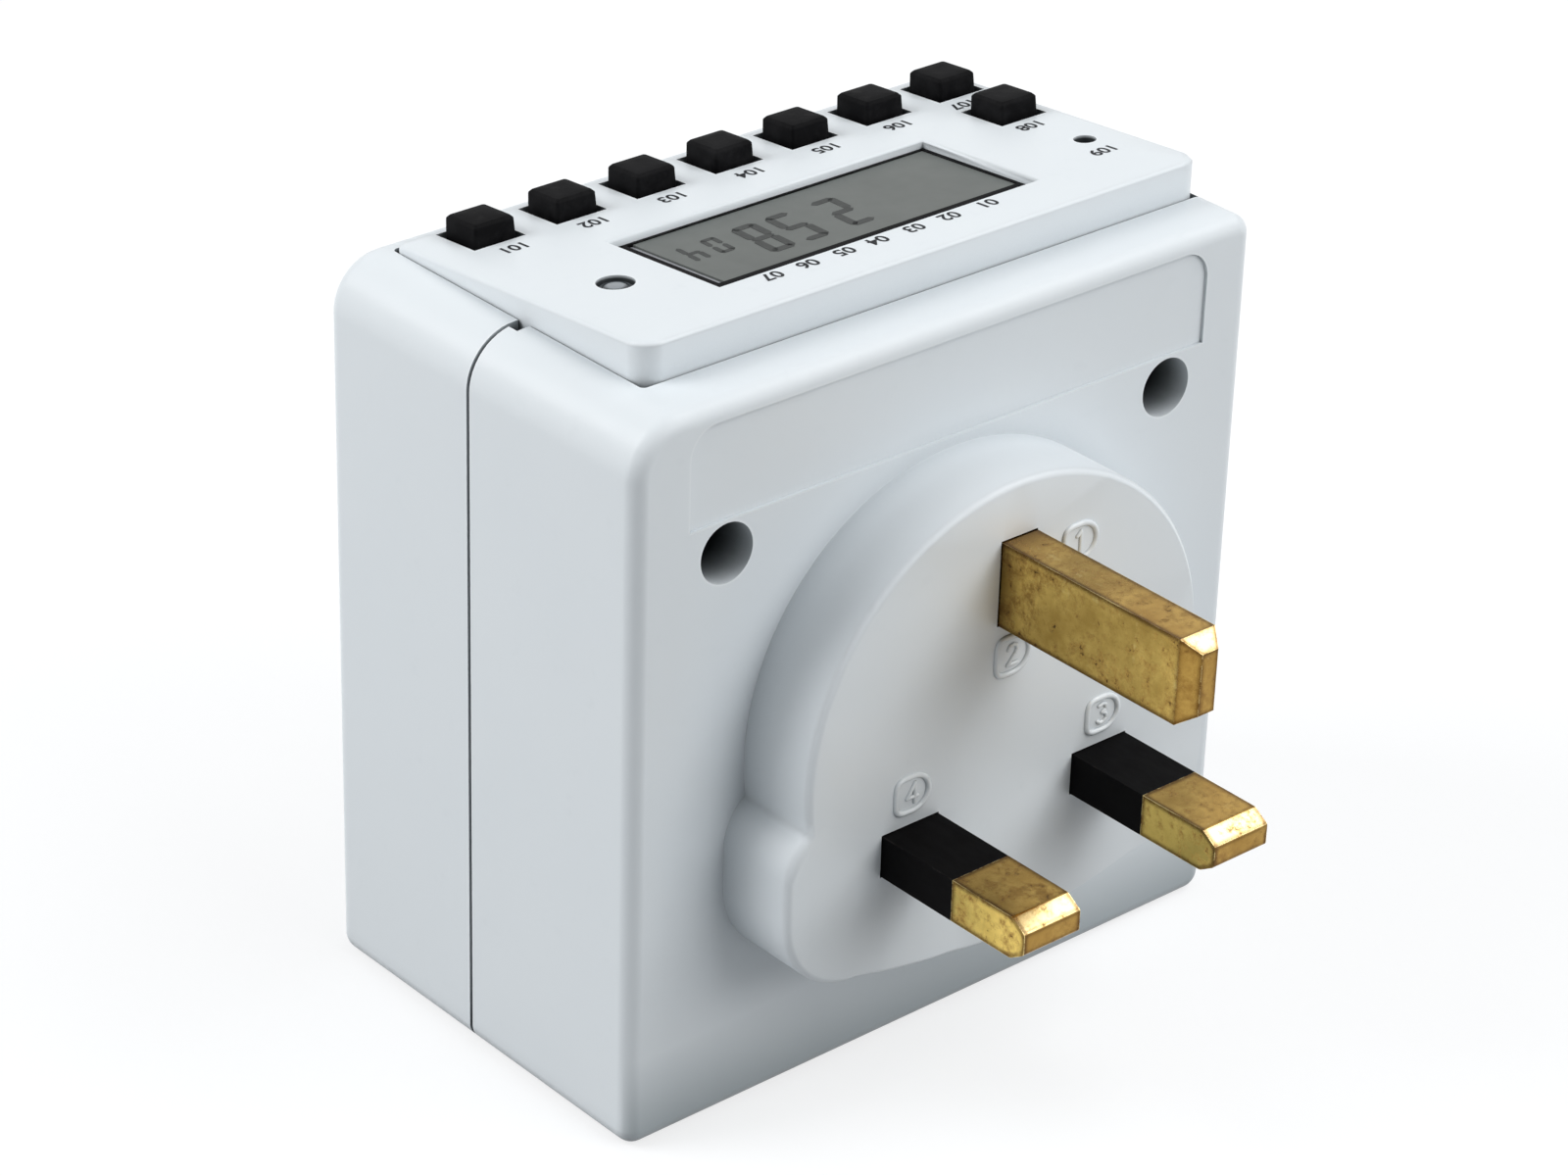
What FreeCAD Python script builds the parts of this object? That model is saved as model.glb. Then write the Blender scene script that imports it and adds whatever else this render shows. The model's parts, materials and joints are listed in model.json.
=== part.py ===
import FreeCAD, Part
import math
import os
from FreeCAD import Placement, Rotation, Vector

# Plug-in seven-day electronic timer for British Standard 1363 sockets.
# Millimetres. +Y points out of the plug pins, -Y out of the socket face, +Z up.
# The origin is the centre of the underside, and live lies on the +X side.

# Case
CASE_W = 70.0
CASE_H = 69.5
FRONT_Y = -21.0
REAR_Y = 21.0
SEAM_Y = -1.0
SEAM_GAP = 0.4
WALL = 1.8
CORNER_WIDE = 5.0
CORNER_SMALL = 1.8
FRONT_EDGE_R = 1.7
REAR_EDGE_R = 1.5
LAP_DEPTH = 2.2
LAP_THICK = 0.8
LAP_PLAY = 0.1
SEAM_NOTCH, SEAM_NOTCH_DEPTH = 1.3, 3.2
WELD = 0.5                                # how far one feature of a moulding runs into another
CUT = 1.0                                 # how far a cutter stands out of what it cuts
SIDE = CASE_W / 2
INNER_SIDE = SIDE - WALL
INNER_FRONT_Y = FRONT_Y + WALL
INNER_REAR_Y = REAR_Y - WALL

# Plug pins, to the standard, and the plug boss round them
PIN_Z = 26.2
PIN_X = 11.12
EARTH_RISE = 22.23
EARTH_Z = PIN_Z + EARTH_RISE
LINE_W, LINE_T, LINE_LEN = 6.35, 4.0, 17.7
EARTH_W, EARTH_T, EARTH_LEN = 4.0, 8.0, 22.7
SLEEVE_LEN = 8.8
SLEEVE_WALL = 0.7
PIN_FIT = 0.1
NOSE_LEN = 1.6
LINE_NOSE_HALF = 1.0
NOSE_ROUND = (0.9, 0.35, 0.5)
EARTH_NOSE_INSET = 1.1
BOSS_H = 8.4
BOSS_R = 22.8
BOSS_CIRCLE_RISE = 8.65
BOSS_CIRCLE_Z = PIN_Z + BOSS_CIRCLE_RISE
BOSS_SIDE_X = 24.8
BOSS_TOP_RISE, BOSS_CREST_RISE = 6.0, 1.0
BOSS_HEEL_DROP, BOSS_FOOT_DROP, BOSS_BOTTOM_DROP = 3.0, 11.6, 13.8
BOSS_TOP_Z, BOSS_CREST_Z = PIN_Z + BOSS_TOP_RISE, PIN_Z + BOSS_CREST_RISE
BOSS_HEEL_Z, BOSS_FOOT_Z = PIN_Z - BOSS_HEEL_DROP, PIN_Z - BOSS_FOOT_DROP
BOSS_BOTTOM_Z = PIN_Z - BOSS_BOTTOM_DROP
BOSS_FOOT_X = 16.2
BOSS_BEVEL = 0.6
BOSS_WALL = 2.4
BOSS_FACE_WALL = 2.5
BOSS_CAVITY_CORNER = 4.0
BOSS_CAVITY_LIFT = 1.0
FACE_Y = REAR_Y + BOSS_H
COLLAR_T = 2.0
LINE_COLLAR = (9.2, 6.8)
EARTH_COLLAR = (8.0, 10.8)
EARTH_TAIL = (3.0, 6.0)
COLLAR_Y1 = FACE_Y - BOSS_FACE_WALL
COLLAR_Y0 = COLLAR_Y1 - COLLAR_T

# Clamp plate over the collars
CLAMP_T = 2.4
CLAMP_POST_X, CLAMP_POST_RISE = 14.0, 11.8
CLAMP_POST_Z = PIN_Z + CLAMP_POST_RISE
CLAMP_POST_SIDE = 5.4
CLAMP_MARGIN = 3.4
CLAMP_UNDER_LINE, CLAMP_OVER_EARTH = 4.4, 5.2
CLAMP_LOW_Z, CLAMP_HIGH_Z = PIN_Z - CLAMP_UNDER_LINE, EARTH_Z + CLAMP_OVER_EARTH
CLAMP_TOP_HALF = 5.6
CLAMP_PIN_PLAY = 0.1
CLAMP_RIB = (16.0, 1.6, 1.2)
CLAMP_RIBS_DOWN = (6.0, 2.0)
CLAMP_RIBS_Z = [CLAMP_POST_Z - down for down in CLAMP_RIBS_DOWN]

# Screw wells and posts
WELL_IN, WELL_DOWN = 9.8, 14.0
WELL_X, WELL_Z = SIDE - WELL_IN, CASE_H - WELL_DOWN
WELL_R = 2.8
WELL_TUBE_R = 4.3
WELL_FLOOR_Y0, WELL_FLOOR_Y1 = 2.0, 4.0
FRONT_POST_R = 3.2
SCREW_PLAY = 0.2
PILOT_PLAY = 0.05
HOOK_X = 18.0
HOOK_HALF_W = 4.0
HOOK_H = 1.4
HOOK_REACH = 6.7
HOOK_ROOT = 5.8
HOOK_BARB = 0.9
HOOK_LIFT = 0.2

# Screws: head radius, head height, shank radius, shank length
CASE_SCREW = (2.5, 2.2, 1.45, 12.0)
RECESS_HALF_SLOT, RECESS_REACH = 0.33, 1.5
CARRIER_SCREW = (2.0, 1.4, 1.0, 5.0)
CLAMP_SCREW = (2.0, 1.4, 1.0, 5.4)
BOARD_SCREW = (1.7, 1.2, 0.8, 4.8)

# Label recess in the rear face
LABEL_INSET_X = (5.5, 5.8)
LABEL_DOWN = 1.7
LABEL_H = 9.2
LABEL_CORNER = 2.8
LABEL_DEPTH = 0.3

# Control panel, tilted towards the user and set into the top
PANEL_IN_X, PANEL_IN_Y = (0.8, 5.6), (2.4, 6.0)
PANEL_X0, PANEL_X1 = -SIDE + PANEL_IN_X[0], SIDE - PANEL_IN_X[1]
PANEL_Y0, PANEL_Y1 = FRONT_Y + PANEL_IN_Y[0], REAR_Y - PANEL_IN_Y[1]
PANEL_TILT = 5.0
PANEL_RISE = 2.25
PANEL_SINK = 1.5
PANEL_SKIRT = 2.4
PANEL_T = 2.0
PANEL_RIM = 1.5
PANEL_THIN_RIM = 0.9
PANEL_GAP = 0.15
PANEL_BEVEL = 0.4
PANEL_CORNERS = (1.0, 2.2)
OPENING_CORNER = 0.5
CATCH_T = 1.5
CATCH_REACH_SIDE, CATCH_REACH_REAR = 1.4, 2.0
CATCH_IN_SIDE = (3.6, 2.5)
CATCH_IN_REAR = (4.2, 3.4)
LEDGE_H = 6.0
LEDGE_BEARING = 0.5
PANEL_MID_Z = CASE_H + PANEL_RISE
PANEL_REST_Z = CASE_H - PANEL_SINK
PANEL_SKIRT_Z = PANEL_REST_Z - PANEL_SKIRT

# Display, in the panel's tilted plane: x0, x1, y0, y1
WINDOW_IN_X, WINDOW_IN_Y = (14.25, 13.25), (12.55, 6.2)
WINDOW = (PANEL_X0 + WINDOW_IN_X[0], PANEL_X1 - WINDOW_IN_X[1],
          PANEL_Y0 + WINDOW_IN_Y[0], PANEL_Y1 - WINDOW_IN_Y[1])
WINDOW_BEVEL = 0.25
GLASS_MARGIN_X, GLASS_MARGIN_Y = 0.9, 1.8
GASKET_INSET = (0.35, 1.65, 0.3, 2.15)
FILM_INSET = (0.4, 2.4, 0.35, 2.2)
LCD_PLAY = 0.1
LCD_LIP = 0.8
GASKET_T = 0.3
FILM_T = 0.2
GLASS_T = 2.2
LCD_FRAME_WALL = 1.2
LCD_FRAME_STEP = 1.0
STRIP_INSET = 1.6
STRIP_Y = (2.2, 0.3)

# Control board
BOARD_TOP_W = -6.9
BOARD_T = 1.2
BOARD_PLAY = 0.4
BOARD_LEAN = 0.6
BOARD = (PANEL_X0 + PANEL_THIN_RIM + BOARD_PLAY, PANEL_X1 - PANEL_RIM - BOARD_PLAY,
         PANEL_Y0 + PANEL_THIN_RIM + BOARD_PLAY, PANEL_Y1 - PANEL_RIM - BOARD_PLAY - BOARD_LEAN)
BOARD_SCREW_IN = ((4.2, 11.0), (9.6, 4.4))
BOARD_SCREWS = ((PANEL_X1 - BOARD_SCREW_IN[0][0], PANEL_Y0 + BOARD_SCREW_IN[0][1]),
                (PANEL_X0 + BOARD_SCREW_IN[1][0], PANEL_Y1 - BOARD_SCREW_IN[1][1]))
BOARD_BOSS_R = 2.0
BOARD_UNDER_W = BOARD_TOP_W - BOARD_T
CHIP_IN, CHIP_SIDE, CHIP_T = (17.4, 6.8), 9.0, 1.4
CRYSTAL_IN, CRYSTAL_R, CRYSTAL_LEN = (11.9, 8.3), 1.2, 7.2
CELL_IN_Y, CELL_R, CELL_T = 9.5, 5.8, 5.4

# Keys
KEY_NAMES = ("key_recall", "key_minute", "key_hour", "key_week", "key_manual", "key_timer", "key_clock")
KEY_IN_X, KEY_IN_Y = (3.7, 6.5), 3.55
KEY_FIRST_X, KEY_LAST_X = PANEL_X1 - KEY_IN_X[1], PANEL_X0 + KEY_IN_X[0]
KEY_PITCH = (KEY_FIRST_X - KEY_LAST_X) / (len(KEY_NAMES) - 1)
KEY_ROW_Y = PANEL_Y0 + KEY_IN_Y
KEY_HOLE = 5.5
KEY_SIDE = 4.3
KEY_RISE = 1.9
KEY_BEVEL, KEY_TOP_BEVEL = 0.4, 0.28
KEY_FLANGE = (-2.35, 3.2, -2.45, 3.2)
KEY_FLANGE_T = 0.8
KEY_STEM, KEY_STEM_FOOT_W = 3.2, -5.1
KEY_PAD, KEY_PAD_T = 2.4, 0.5
MAT_WELL = 3.6
MAT_COLLAR = 4.5
MAT_COLLAR_T = 1.9
MAT_T = 0.8
MAT_MARGIN = 3.0
RANDOM_KEY_IN = (4.1, 12.3)
RANDOM_KEY = (PANEL_X0 + RANDOM_KEY_IN[0], PANEL_Y0 + RANDOM_KEY_IN[1])
KEY_CENTRES = {name: (KEY_FIRST_X - i * KEY_PITCH, KEY_ROW_Y) for i, name in enumerate(KEY_NAMES)}
KEY_CENTRES["key_random"] = RANDOM_KEY

# Indicator and reset switch
LED_IN = (7.6, 20.6)
LED_XY = (PANEL_X1 - LED_IN[0], PANEL_Y0 + LED_IN[1])
LED_R = 1.5
LED_HOLE_PLAY = 0.2
LED_FOOT, LED_SHOULDER, LED_TIP = 0.6, 5.4, 6.4
LED_LEAD, LED_LEAD_X = 0.5, 1.27
RESET_IN = (4.0, 22.8)
RESET_XY = (PANEL_X0 + RESET_IN[0], PANEL_Y0 + RESET_IN[1])
RESET_HOLE_R = 1.05
RESET_BODY = (1.9, 2.6, 2.5, 3.2)
PLUNGER_R, PLUNGER_PLAY = 1.3, 0.05
PLUNGER_FOOT, PLUNGER_LEN = 2.8, 1.3
PLUNGER_WELL = 0.8

# Socket side
APERTURE_FIT = 0.8
APERTURE_SPLAY = 0.7
SHUTTER_T = 3.6
SHUTTER_PLAY = 0.25
SHUTTER_Y0 = INNER_FRONT_Y + SHUTTER_PLAY
SHUTTER_Y1 = SHUTTER_Y0 + SHUTTER_T
SHUTTER_FOOT_DROP, SHUTTER_RAMP_DROP, SHUTTER_BAR_DROP, SHUTTER_CREST_RISE = 3.6, 2.0, 0.8, 3.0
SHUTTER_Z0, SHUTTER_Z1 = PIN_Z - SHUTTER_FOOT_DROP, PIN_Z + SHUTTER_CREST_RISE
SHUTTER_RAMP_Z, SHUTTER_BAR_Z = PIN_Z - SHUTTER_RAMP_DROP, PIN_Z - SHUTTER_BAR_DROP
SHUTTER_CREST = 0.8
SHUTTER_OUT, SHUTTER_IN = 5.28, 4.12
SHUTTER_HALF_W, SHUTTER_INNER_X = PIN_X + SHUTTER_OUT, PIN_X - SHUTTER_IN
GUIDE_PLAY, GUIDE_T, GUIDE_LIFT = 0.3, 1.3, 1.8
STOP_IN, STOP_W, STOP_T = 0.12, 6.0, 1.4
SPRING_H = 7.6
SPRING_SEAT_Z = SHUTTER_Z0 - SPRING_H
SPRING_SEAT = (6.0, 1.2, 4.6)
SPRING_T, SPRING_W, SPRING_REACH, SPRING_FOLDS = 0.25, 2.2, 1.5, 6

# Contacts and their carrier
CARRIER_Y0 = SHUTTER_Y1 + SHUTTER_PLAY
CARRIER_DEPTH, EARTH_CARRIER_DEPTH = 14.2, 18.5
CARRIER_Y1 = CARRIER_Y0 + CARRIER_DEPTH
EARTH_CARRIER_Y1 = CARRIER_Y0 + EARTH_CARRIER_DEPTH
CARRIER_POST_X, CARRIER_POST_RISE = 13.0, 11.8
CARRIER_POST_Z = PIN_Z + CARRIER_POST_RISE
CARRIER_POST_SIDE = 5.2
CARRIER_FACE = 1.2
BLOCK_HALF, BLOCK_UNDER, BLOCK_OVER = 17.4, 4.6, 4.7
COLUMN_HALF, COLUMN_UNDER, COLUMN_OVER = 4.8, 8.43, 6.77
CARRIER_NECK = (3.0, 3.0)
CARRIER_EAR = (3.0, 3.2, 2.0)
CLIP_T = 0.8
CLIP_GAP = 4.3
CLIP_SPLAY = 0.7
CLIP_LEAD = 2.0
CLIP_IN = 1.5
CLIP_FRONT_Y = CARRIER_Y0 + CLIP_IN
CLIP_HALF_W = 3.3
EARTH_CLIP_HALF_W = 4.2
CLIP_POCKET = 3.9
MOUTH_PLAY = 0.5
LEG_HALF_W = 1.8
TENON = 2.4
TENON_HEAD, TENON_HEAD_T = 0.6, 0.5

# Power board and what stands on it
POWER_BOARD_PLAY = 3.2
POWER_BOARD_PLAY_Y = 2.2
POWER_BOARD = (-INNER_SIDE + POWER_BOARD_PLAY, INNER_SIDE - POWER_BOARD_PLAY,
               INNER_FRONT_Y + POWER_BOARD_PLAY_Y, INNER_REAR_Y - POWER_BOARD_PLAY_Y)
POWER_BOARD_Z, POWER_BOARD_T = 4.0, 1.6
POWER_TOP_Z = POWER_BOARD_Z + POWER_BOARD_T
BOARD_REST = (4.0, 3.0, 1.5)
RELAY = (29.0, 12.7, 15.7)
RELAY_INSET = (2.0, 3.1)
FILM_CAP = (18.0, 8.5, 14.8)
FILM_CAP_INSET = (4.0, 2.5)
CASE_BEVEL = 0.5
CAN_R, CAN_H, CAN_INSET = 5.0, 12.5, (10.0, 8.0)
RECTIFIER = (8.3, 6.4, 3.2)
RECTIFIER_INSET = (6.0, 4.0)
RESISTOR_R, RESISTOR_LEN, RESISTOR_Y = 2.0, 11.0, 1.0
TRANSISTOR_W, TRANSISTOR_D, TRANSISTOR_H = 4.6, 2.0, 4.8
TRANSISTOR_INSET, TRANSISTOR_Y = 5.0, 2.2
TRANSISTOR_LEG, TRANSISTOR_LEG_H, TRANSISTOR_PITCH = 0.5, 1.4, 1.3
LEAD_R, LEAD_INSET_Y = 1.15, 1.0
RIBBON_T, RIBBON_HALF_W = 0.6, 4.5
RIBBON_WALL_PLAY, RIBBON_BOARD_INSET = 2.0, 1.2
RIBBON_BEND = (3.4, 9.4)

# Smallest cosine at which a bent strip is still mitred in full
MITRE_LEAST = 0.3

TILT = Placement(Vector(0, 0, PANEL_MID_Z), Rotation(Vector(1, 0, 0), PANEL_TILT))
OUT = "parts"


def box(x0, x1, y0, y1, z0, z1):
    """Block between two opposite corners."""
    return Part.makeBox(x1 - x0, y1 - y0, z1 - z0, Vector(x0, y0, z0))


def block(middle_x, half_x, y0, y1, z0, z1):
    """Block centred on middle_x."""
    return box(middle_x - half_x, middle_x + half_x, y0, y1, z0, z1)


def cylinder(centre, axis, radius, length):
    """Cylinder that starts at centre and runs along axis."""
    return Part.makeCylinder(radius, length, Vector(*centre), Vector(*axis))


def fuse(shapes):
    """One clean solid out of several that meet or overlap."""
    first, rest = shapes[0], shapes[1:]
    return first.multiFuse(rest).removeSplitter() if rest else first


def cut(base, tools):
    """The base less every tool."""
    return base.cut(Part.makeCompound(tools)).removeSplitter()


def both_sides(make):
    """What make gives for the +X side and for the -X side."""
    return [make(side) for side in (1, -1)]


def to_plane(plane, level):
    """Function that lifts a flat point (a, b) into the named plane at a level."""
    lifts = {
        "xy": lambda a, b: Vector(a, b, level),
        "xz": lambda a, b: Vector(a, level, b),
        "yz": lambda a, b: Vector(level, a, b),
    }
    return lifts[plane]


def outline(corners, plane, level):
    """Closed wire through corners (a, b, radius), each corner rounded by its radius."""
    lift = to_plane(plane, level)
    count = len(corners)
    stops = []
    for i, (a, b, radius) in enumerate(corners):
        here = Vector(a, b, 0)
        back = Vector(*corners[i - 1][:2], 0) - here
        ahead = Vector(*corners[(i + 1) % count][:2], 0) - here
        back.normalize()
        ahead.normalize()
        if radius <= 0:
            stops.append((here, None, here))
            continue
        half = back.getAngle(ahead) / 2
        reach = radius / math.tan(half)
        bisector = back + ahead
        bisector.normalize()
        middle = here + bisector * (radius / math.sin(half) - radius)
        stops.append((here + back * reach, middle, here + ahead * reach))
    edges = []
    for i, (start, middle, end) in enumerate(stops):
        if middle is not None:
            arc = Part.Arc(lift(start.x, start.y), lift(middle.x, middle.y), lift(end.x, end.y))
            edges.append(arc.toShape())
        following = stops[(i + 1) % count][0]
        if end.distanceToPoint(following) > 1e-6:
            edges.append(Part.makeLine(lift(end.x, end.y), lift(following.x, following.y)))
    return Part.Wire(edges)


def prism(corners, plane, low, high):
    """Rounded outline drawn in a plane and pulled from low to high along its normal."""
    lift_low, lift_high = to_plane(plane, low), to_plane(plane, high)
    return Part.Face(outline(corners, plane, low)).extrude(lift_high(0, 0) - lift_low(0, 0))


def rect(x0, x1, y0, y1, radius=0.0):
    """Corner list of a rectangle with one radius."""
    return [(x0, y0, radius), (x1, y0, radius), (x1, y1, radius), (x0, y1, radius)]


def frustum(x0, x1, z0, z1, low, high, inset):
    """Block along Y whose sides close in by inset between its full end at low and its end at high."""
    start, end = (low, high) if low < high else (high, low)
    near, far = (0, inset) if low < high else (inset, 0)
    return Part.makeWedge(x0 + near, start, z0 + near, z0 + far, x0 + far,
                          x1 - near, end, z1 - near, z1 - far, x1 - far)


def case_corners(inset):
    """Case section seen along Y, inset from the outside, with its one wide corner."""
    half = SIDE - inset
    small = max(CORNER_SMALL - inset, OPENING_CORNER)
    wide = CORNER_WIDE - inset
    return [
        (-half, inset, small),
        (half, inset, small),
        (half, CASE_H - inset, wide),
        (-half, CASE_H - inset, small),
    ]


def rim_edges(solid, plane_y):
    """Edges that lie in the plane y = plane_y."""
    return [e for e in solid.Edges if all(abs(v.Y - plane_y) < 1e-4 for v in e.Vertexes)]


def top_edges(solid, plane_z):
    """Edges that lie in the plane z = plane_z."""
    return [e for e in solid.Edges if all(abs(v.Z - plane_z) < 1e-4 for v in e.Vertexes)]


def tilted(shape):
    """Move a shape from the panel's own plane (top face at w = 0) into the part's frame."""
    moved = shape.copy()
    moved.Placement = TILT.multiply(shape.Placement)
    return moved


def tilted_slab(top, bottom):
    """Wide slab parallel to the panel face between two heights."""
    return tilted(box(-CASE_W, CASE_W, -CASE_W, CASE_W, bottom, top))


def screw(centre, axis, sizes, recess=False):
    """Cheese-head screw: head revolved with its shank, with a cross recess where it shows."""
    head_r, head_h, shank_r, shank_len = sizes
    points = [(0, -head_h), (head_r, -head_h), (head_r, 0),
              (shank_r, 0), (shank_r, shank_len), (0, shank_len)]
    loop = [Vector(r, 0, z) for r, z in points + points[:1]]
    body = Part.Face(Part.makePolygon(loop)).revolve(Vector(0, 0, 0), Vector(0, 0, 1), 360)
    if recess:
        floor = -head_h / 2
        body = cut(body, [
            block(0, RECESS_REACH, -RECESS_HALF_SLOT, RECESS_HALF_SLOT, -head_h - CUT, floor),
            block(0, RECESS_HALF_SLOT, -RECESS_REACH, RECESS_REACH, -head_h - CUT, floor),
        ])
    body.Placement = Placement(Vector(*centre), Rotation(Vector(0, 0, 1), Vector(*axis)))
    return body


def screw_hole(sizes, centre_x, y, z, length, play):
    """Round hole along +Y for a screw's shank."""
    return cylinder((centre_x, y, z), (0, 1, 0), sizes[2] + play, length)


def boss_block(low, high):
    """Lower block of the plug: side lobes, wide bottom corners and a slightly bowed bottom."""
    lift = to_plane("xz", low)
    cos45 = math.sqrt(0.5)
    side_r = BOSS_TOP_Z - BOSS_CREST_Z
    shoulder = BOSS_SIDE_X - side_r
    edges = []
    for s in (1, -1):
        toe = (s * (BOSS_FOOT_X + (BOSS_SIDE_X - BOSS_FOOT_X) * cos45),
               BOSS_HEEL_Z - (BOSS_HEEL_Z - BOSS_FOOT_Z) * cos45)
        lobe = (s * (shoulder + side_r * cos45), BOSS_CREST_Z + side_r * cos45)
        foot, heel = (s * BOSS_FOOT_X, BOSS_FOOT_Z), (s * BOSS_SIDE_X, BOSS_HEEL_Z)
        crest, top = (s * BOSS_SIDE_X, BOSS_CREST_Z), (s * shoulder, BOSS_TOP_Z)
        edges += [
            Part.Arc(lift(*foot), lift(*toe), lift(*heel)).toShape(),
            Part.makeLine(lift(*heel), lift(*crest)),
            Part.Arc(lift(*crest), lift(*lobe), lift(*top)).toShape(),
        ]
    edges.append(Part.makeLine(lift(shoulder, BOSS_TOP_Z), lift(-shoulder, BOSS_TOP_Z)))
    bottom = Part.Arc(lift(-BOSS_FOOT_X, BOSS_FOOT_Z), lift(0, BOSS_BOTTOM_Z), lift(BOSS_FOOT_X, BOSS_FOOT_Z))
    edges.append(bottom.toShape())
    wire = Part.Wire(Part.__sortEdges__(edges))
    return Part.Face(wire).extrude(Vector(0, high - low, 0))


def boss_outside():
    """Round plug body joined to its lower block, each with a bevelled face edge."""
    base_y = REAR_Y - WELD
    disc = cylinder((0, base_y, BOSS_CIRCLE_Z), (0, 1, 0), BOSS_R, FACE_Y - base_y)
    lower = boss_block(base_y, FACE_Y)
    return fuse([form.makeChamfer(BOSS_BEVEL, rim_edges(form, FACE_Y)) for form in (disc, lower)])


def boss_cavity():
    """Hollow behind the plug face, open into the case."""
    start_y = INNER_REAR_Y - CUT
    disc = cylinder((0, start_y, BOSS_CIRCLE_Z), (0, 1, 0), BOSS_R - BOSS_WALL, COLLAR_Y1 - start_y)
    half = BOSS_SIDE_X - BOSS_FACE_WALL
    lower = prism(rect(-half, half, BOSS_FOOT_Z + BOSS_CAVITY_LIFT, BOSS_TOP_Z - WALL, BOSS_CAVITY_CORNER),
                  "xz", start_y, COLLAR_Y1)
    return fuse([disc, lower])


def pin_slots(fit, low, high):
    """Through slots for the three plug pins."""
    half_w, half_t = LINE_W / 2 + fit, LINE_T / 2 + fit
    slots = both_sides(lambda s: block(s * PIN_X, half_w, low, high, PIN_Z - half_t, PIN_Z + half_t))
    tall = EARTH_T / 2 + fit
    slots.append(block(0, EARTH_W / 2 + fit, low, high, EARTH_Z - tall, EARTH_Z + tall))
    return slots


def panel_opening():
    """Opening in the case top: full outline above the ledge, only the ceiling below it."""
    x0, x1 = PANEL_X0 - PANEL_GAP, PANEL_X1 + PANEL_GAP
    y0, y1 = PANEL_Y0 - PANEL_GAP, PANEL_Y1 + PANEL_GAP
    upper = prism(rect(x0, x1, y0, y1, OPENING_CORNER), "xy", PANEL_REST_Z, CASE_H + CUT)
    lower = box(-INNER_SIDE, x1, INNER_FRONT_Y, y1, CASE_H - WALL - WELD, PANEL_REST_Z + PANEL_GAP)
    return [upper, lower]


def seam_notch():
    """Cutter for the nick where the seam runs out at the panel."""
    start = SEAM_Y + SEAM_GAP / 2 - LAP_PLAY
    return prism([(start, CASE_H + LAP_PLAY, 0), (start + SEAM_NOTCH, CASE_H + LAP_PLAY, 0),
                  (start, CASE_H - SEAM_NOTCH_DEPTH, 0)],
                 "yz", PANEL_X1, PANEL_X1 + PANEL_GAP + SEAM_NOTCH)


def front_cover():
    """Socket-side shell with apertures, lap tongue, posts, shutter guides and board rests."""
    rim_y = SEAM_Y - SEAM_GAP / 2
    root_y = INNER_FRONT_Y - WELD
    outer = prism(case_corners(0), "xz", FRONT_Y, rim_y)
    outer = outer.makeFillet(FRONT_EDGE_R, rim_edges(outer, FRONT_Y))
    shell = outer.cut(prism(case_corners(WALL), "xz", INNER_FRONT_Y, rim_y + CUT))
    tongue = prism(case_corners(WALL - LAP_THICK), "xz", rim_y - WELD, rim_y + LAP_DEPTH).cut(
        prism(case_corners(WALL), "xz", rim_y - WELD - CUT, rim_y + LAP_DEPTH + CUT))
    ledge = box(-INNER_SIDE, PANEL_X1, root_y, PANEL_Y0 + LEDGE_BEARING, PANEL_REST_Z - LEDGE_H, PANEL_REST_Z)
    case_posts = both_sides(lambda s: cylinder((s * WELL_X, root_y, WELL_Z), (0, 1, 0), FRONT_POST_R,
                                               WELL_FLOOR_Y0 - root_y))
    half = CARRIER_POST_SIDE / 2
    carrier_posts = both_sides(lambda s: block(s * CARRIER_POST_X, half, root_y, CARRIER_Y0,
                                               CARRIER_POST_Z - half, CARRIER_POST_Z + half))
    guide_x = SHUTTER_HALF_W + GUIDE_PLAY + GUIDE_T / 2
    guides = both_sides(lambda s: block(s * guide_x, GUIDE_T / 2, root_y, SHUTTER_Y1,
                                        SPRING_SEAT_Z + GUIDE_LIFT, SHUTTER_Z1 + GUIDE_LIFT))
    stop_x = PIN_X - STOP_IN
    stops = both_sides(lambda s: block(s * stop_x, STOP_W / 2, root_y, SHUTTER_Y1,
                                       SHUTTER_Z1, SHUTTER_Z1 + STOP_T))
    width, lip, foot = SPRING_SEAT
    seat = prism([(root_y, SPRING_SEAT_Z, 0), (SHUTTER_Y1, SPRING_SEAT_Z, 0),
                  (SHUTTER_Y1, SPRING_SEAT_Z - lip, 0), (root_y, SPRING_SEAT_Z - foot, 0)],
                 "yz", -width / 2, width / 2)
    rest_y = POWER_BOARD[2] + BOARD_REST[2]
    hooks = [floor_hook(s * HOOK_X) for s in (1, -1)]
    body = fuse([shell, tongue, ledge, seat] + case_posts + carrier_posts + guides + stops + hooks
                + board_rests(rest_y))
    holes = aperture_cutters() + panel_opening() + [seam_notch()]
    deep = CASE_SCREW[3] - (WELL_FLOOR_Y1 - WELL_FLOOR_Y0) + CUT
    holes += both_sides(lambda s: screw_hole(CASE_SCREW, s * WELL_X, WELL_FLOOR_Y0 - deep, WELL_Z,
                                             deep + CUT, PILOT_PLAY))
    deep = CARRIER_SCREW[3] - CARRIER_EAR[2] + SCREW_PLAY
    holes += both_sides(lambda s: screw_hole(CARRIER_SCREW, s * CARRIER_POST_X, CARRIER_Y0 - deep,
                                             CARRIER_POST_Z, deep + CUT, PILOT_PLAY))
    return cut(body, holes)


def board_rests(start_y):
    """Two feet on the floor that carry one long edge of the power board."""
    width, depth, _ = BOARD_REST
    middle = POWER_BOARD[1] - BOARD_REST[0]
    return both_sides(lambda s: block(s * middle, width / 2, start_y, start_y + depth,
                                      WALL - WELD, POWER_BOARD_Z))


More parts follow.
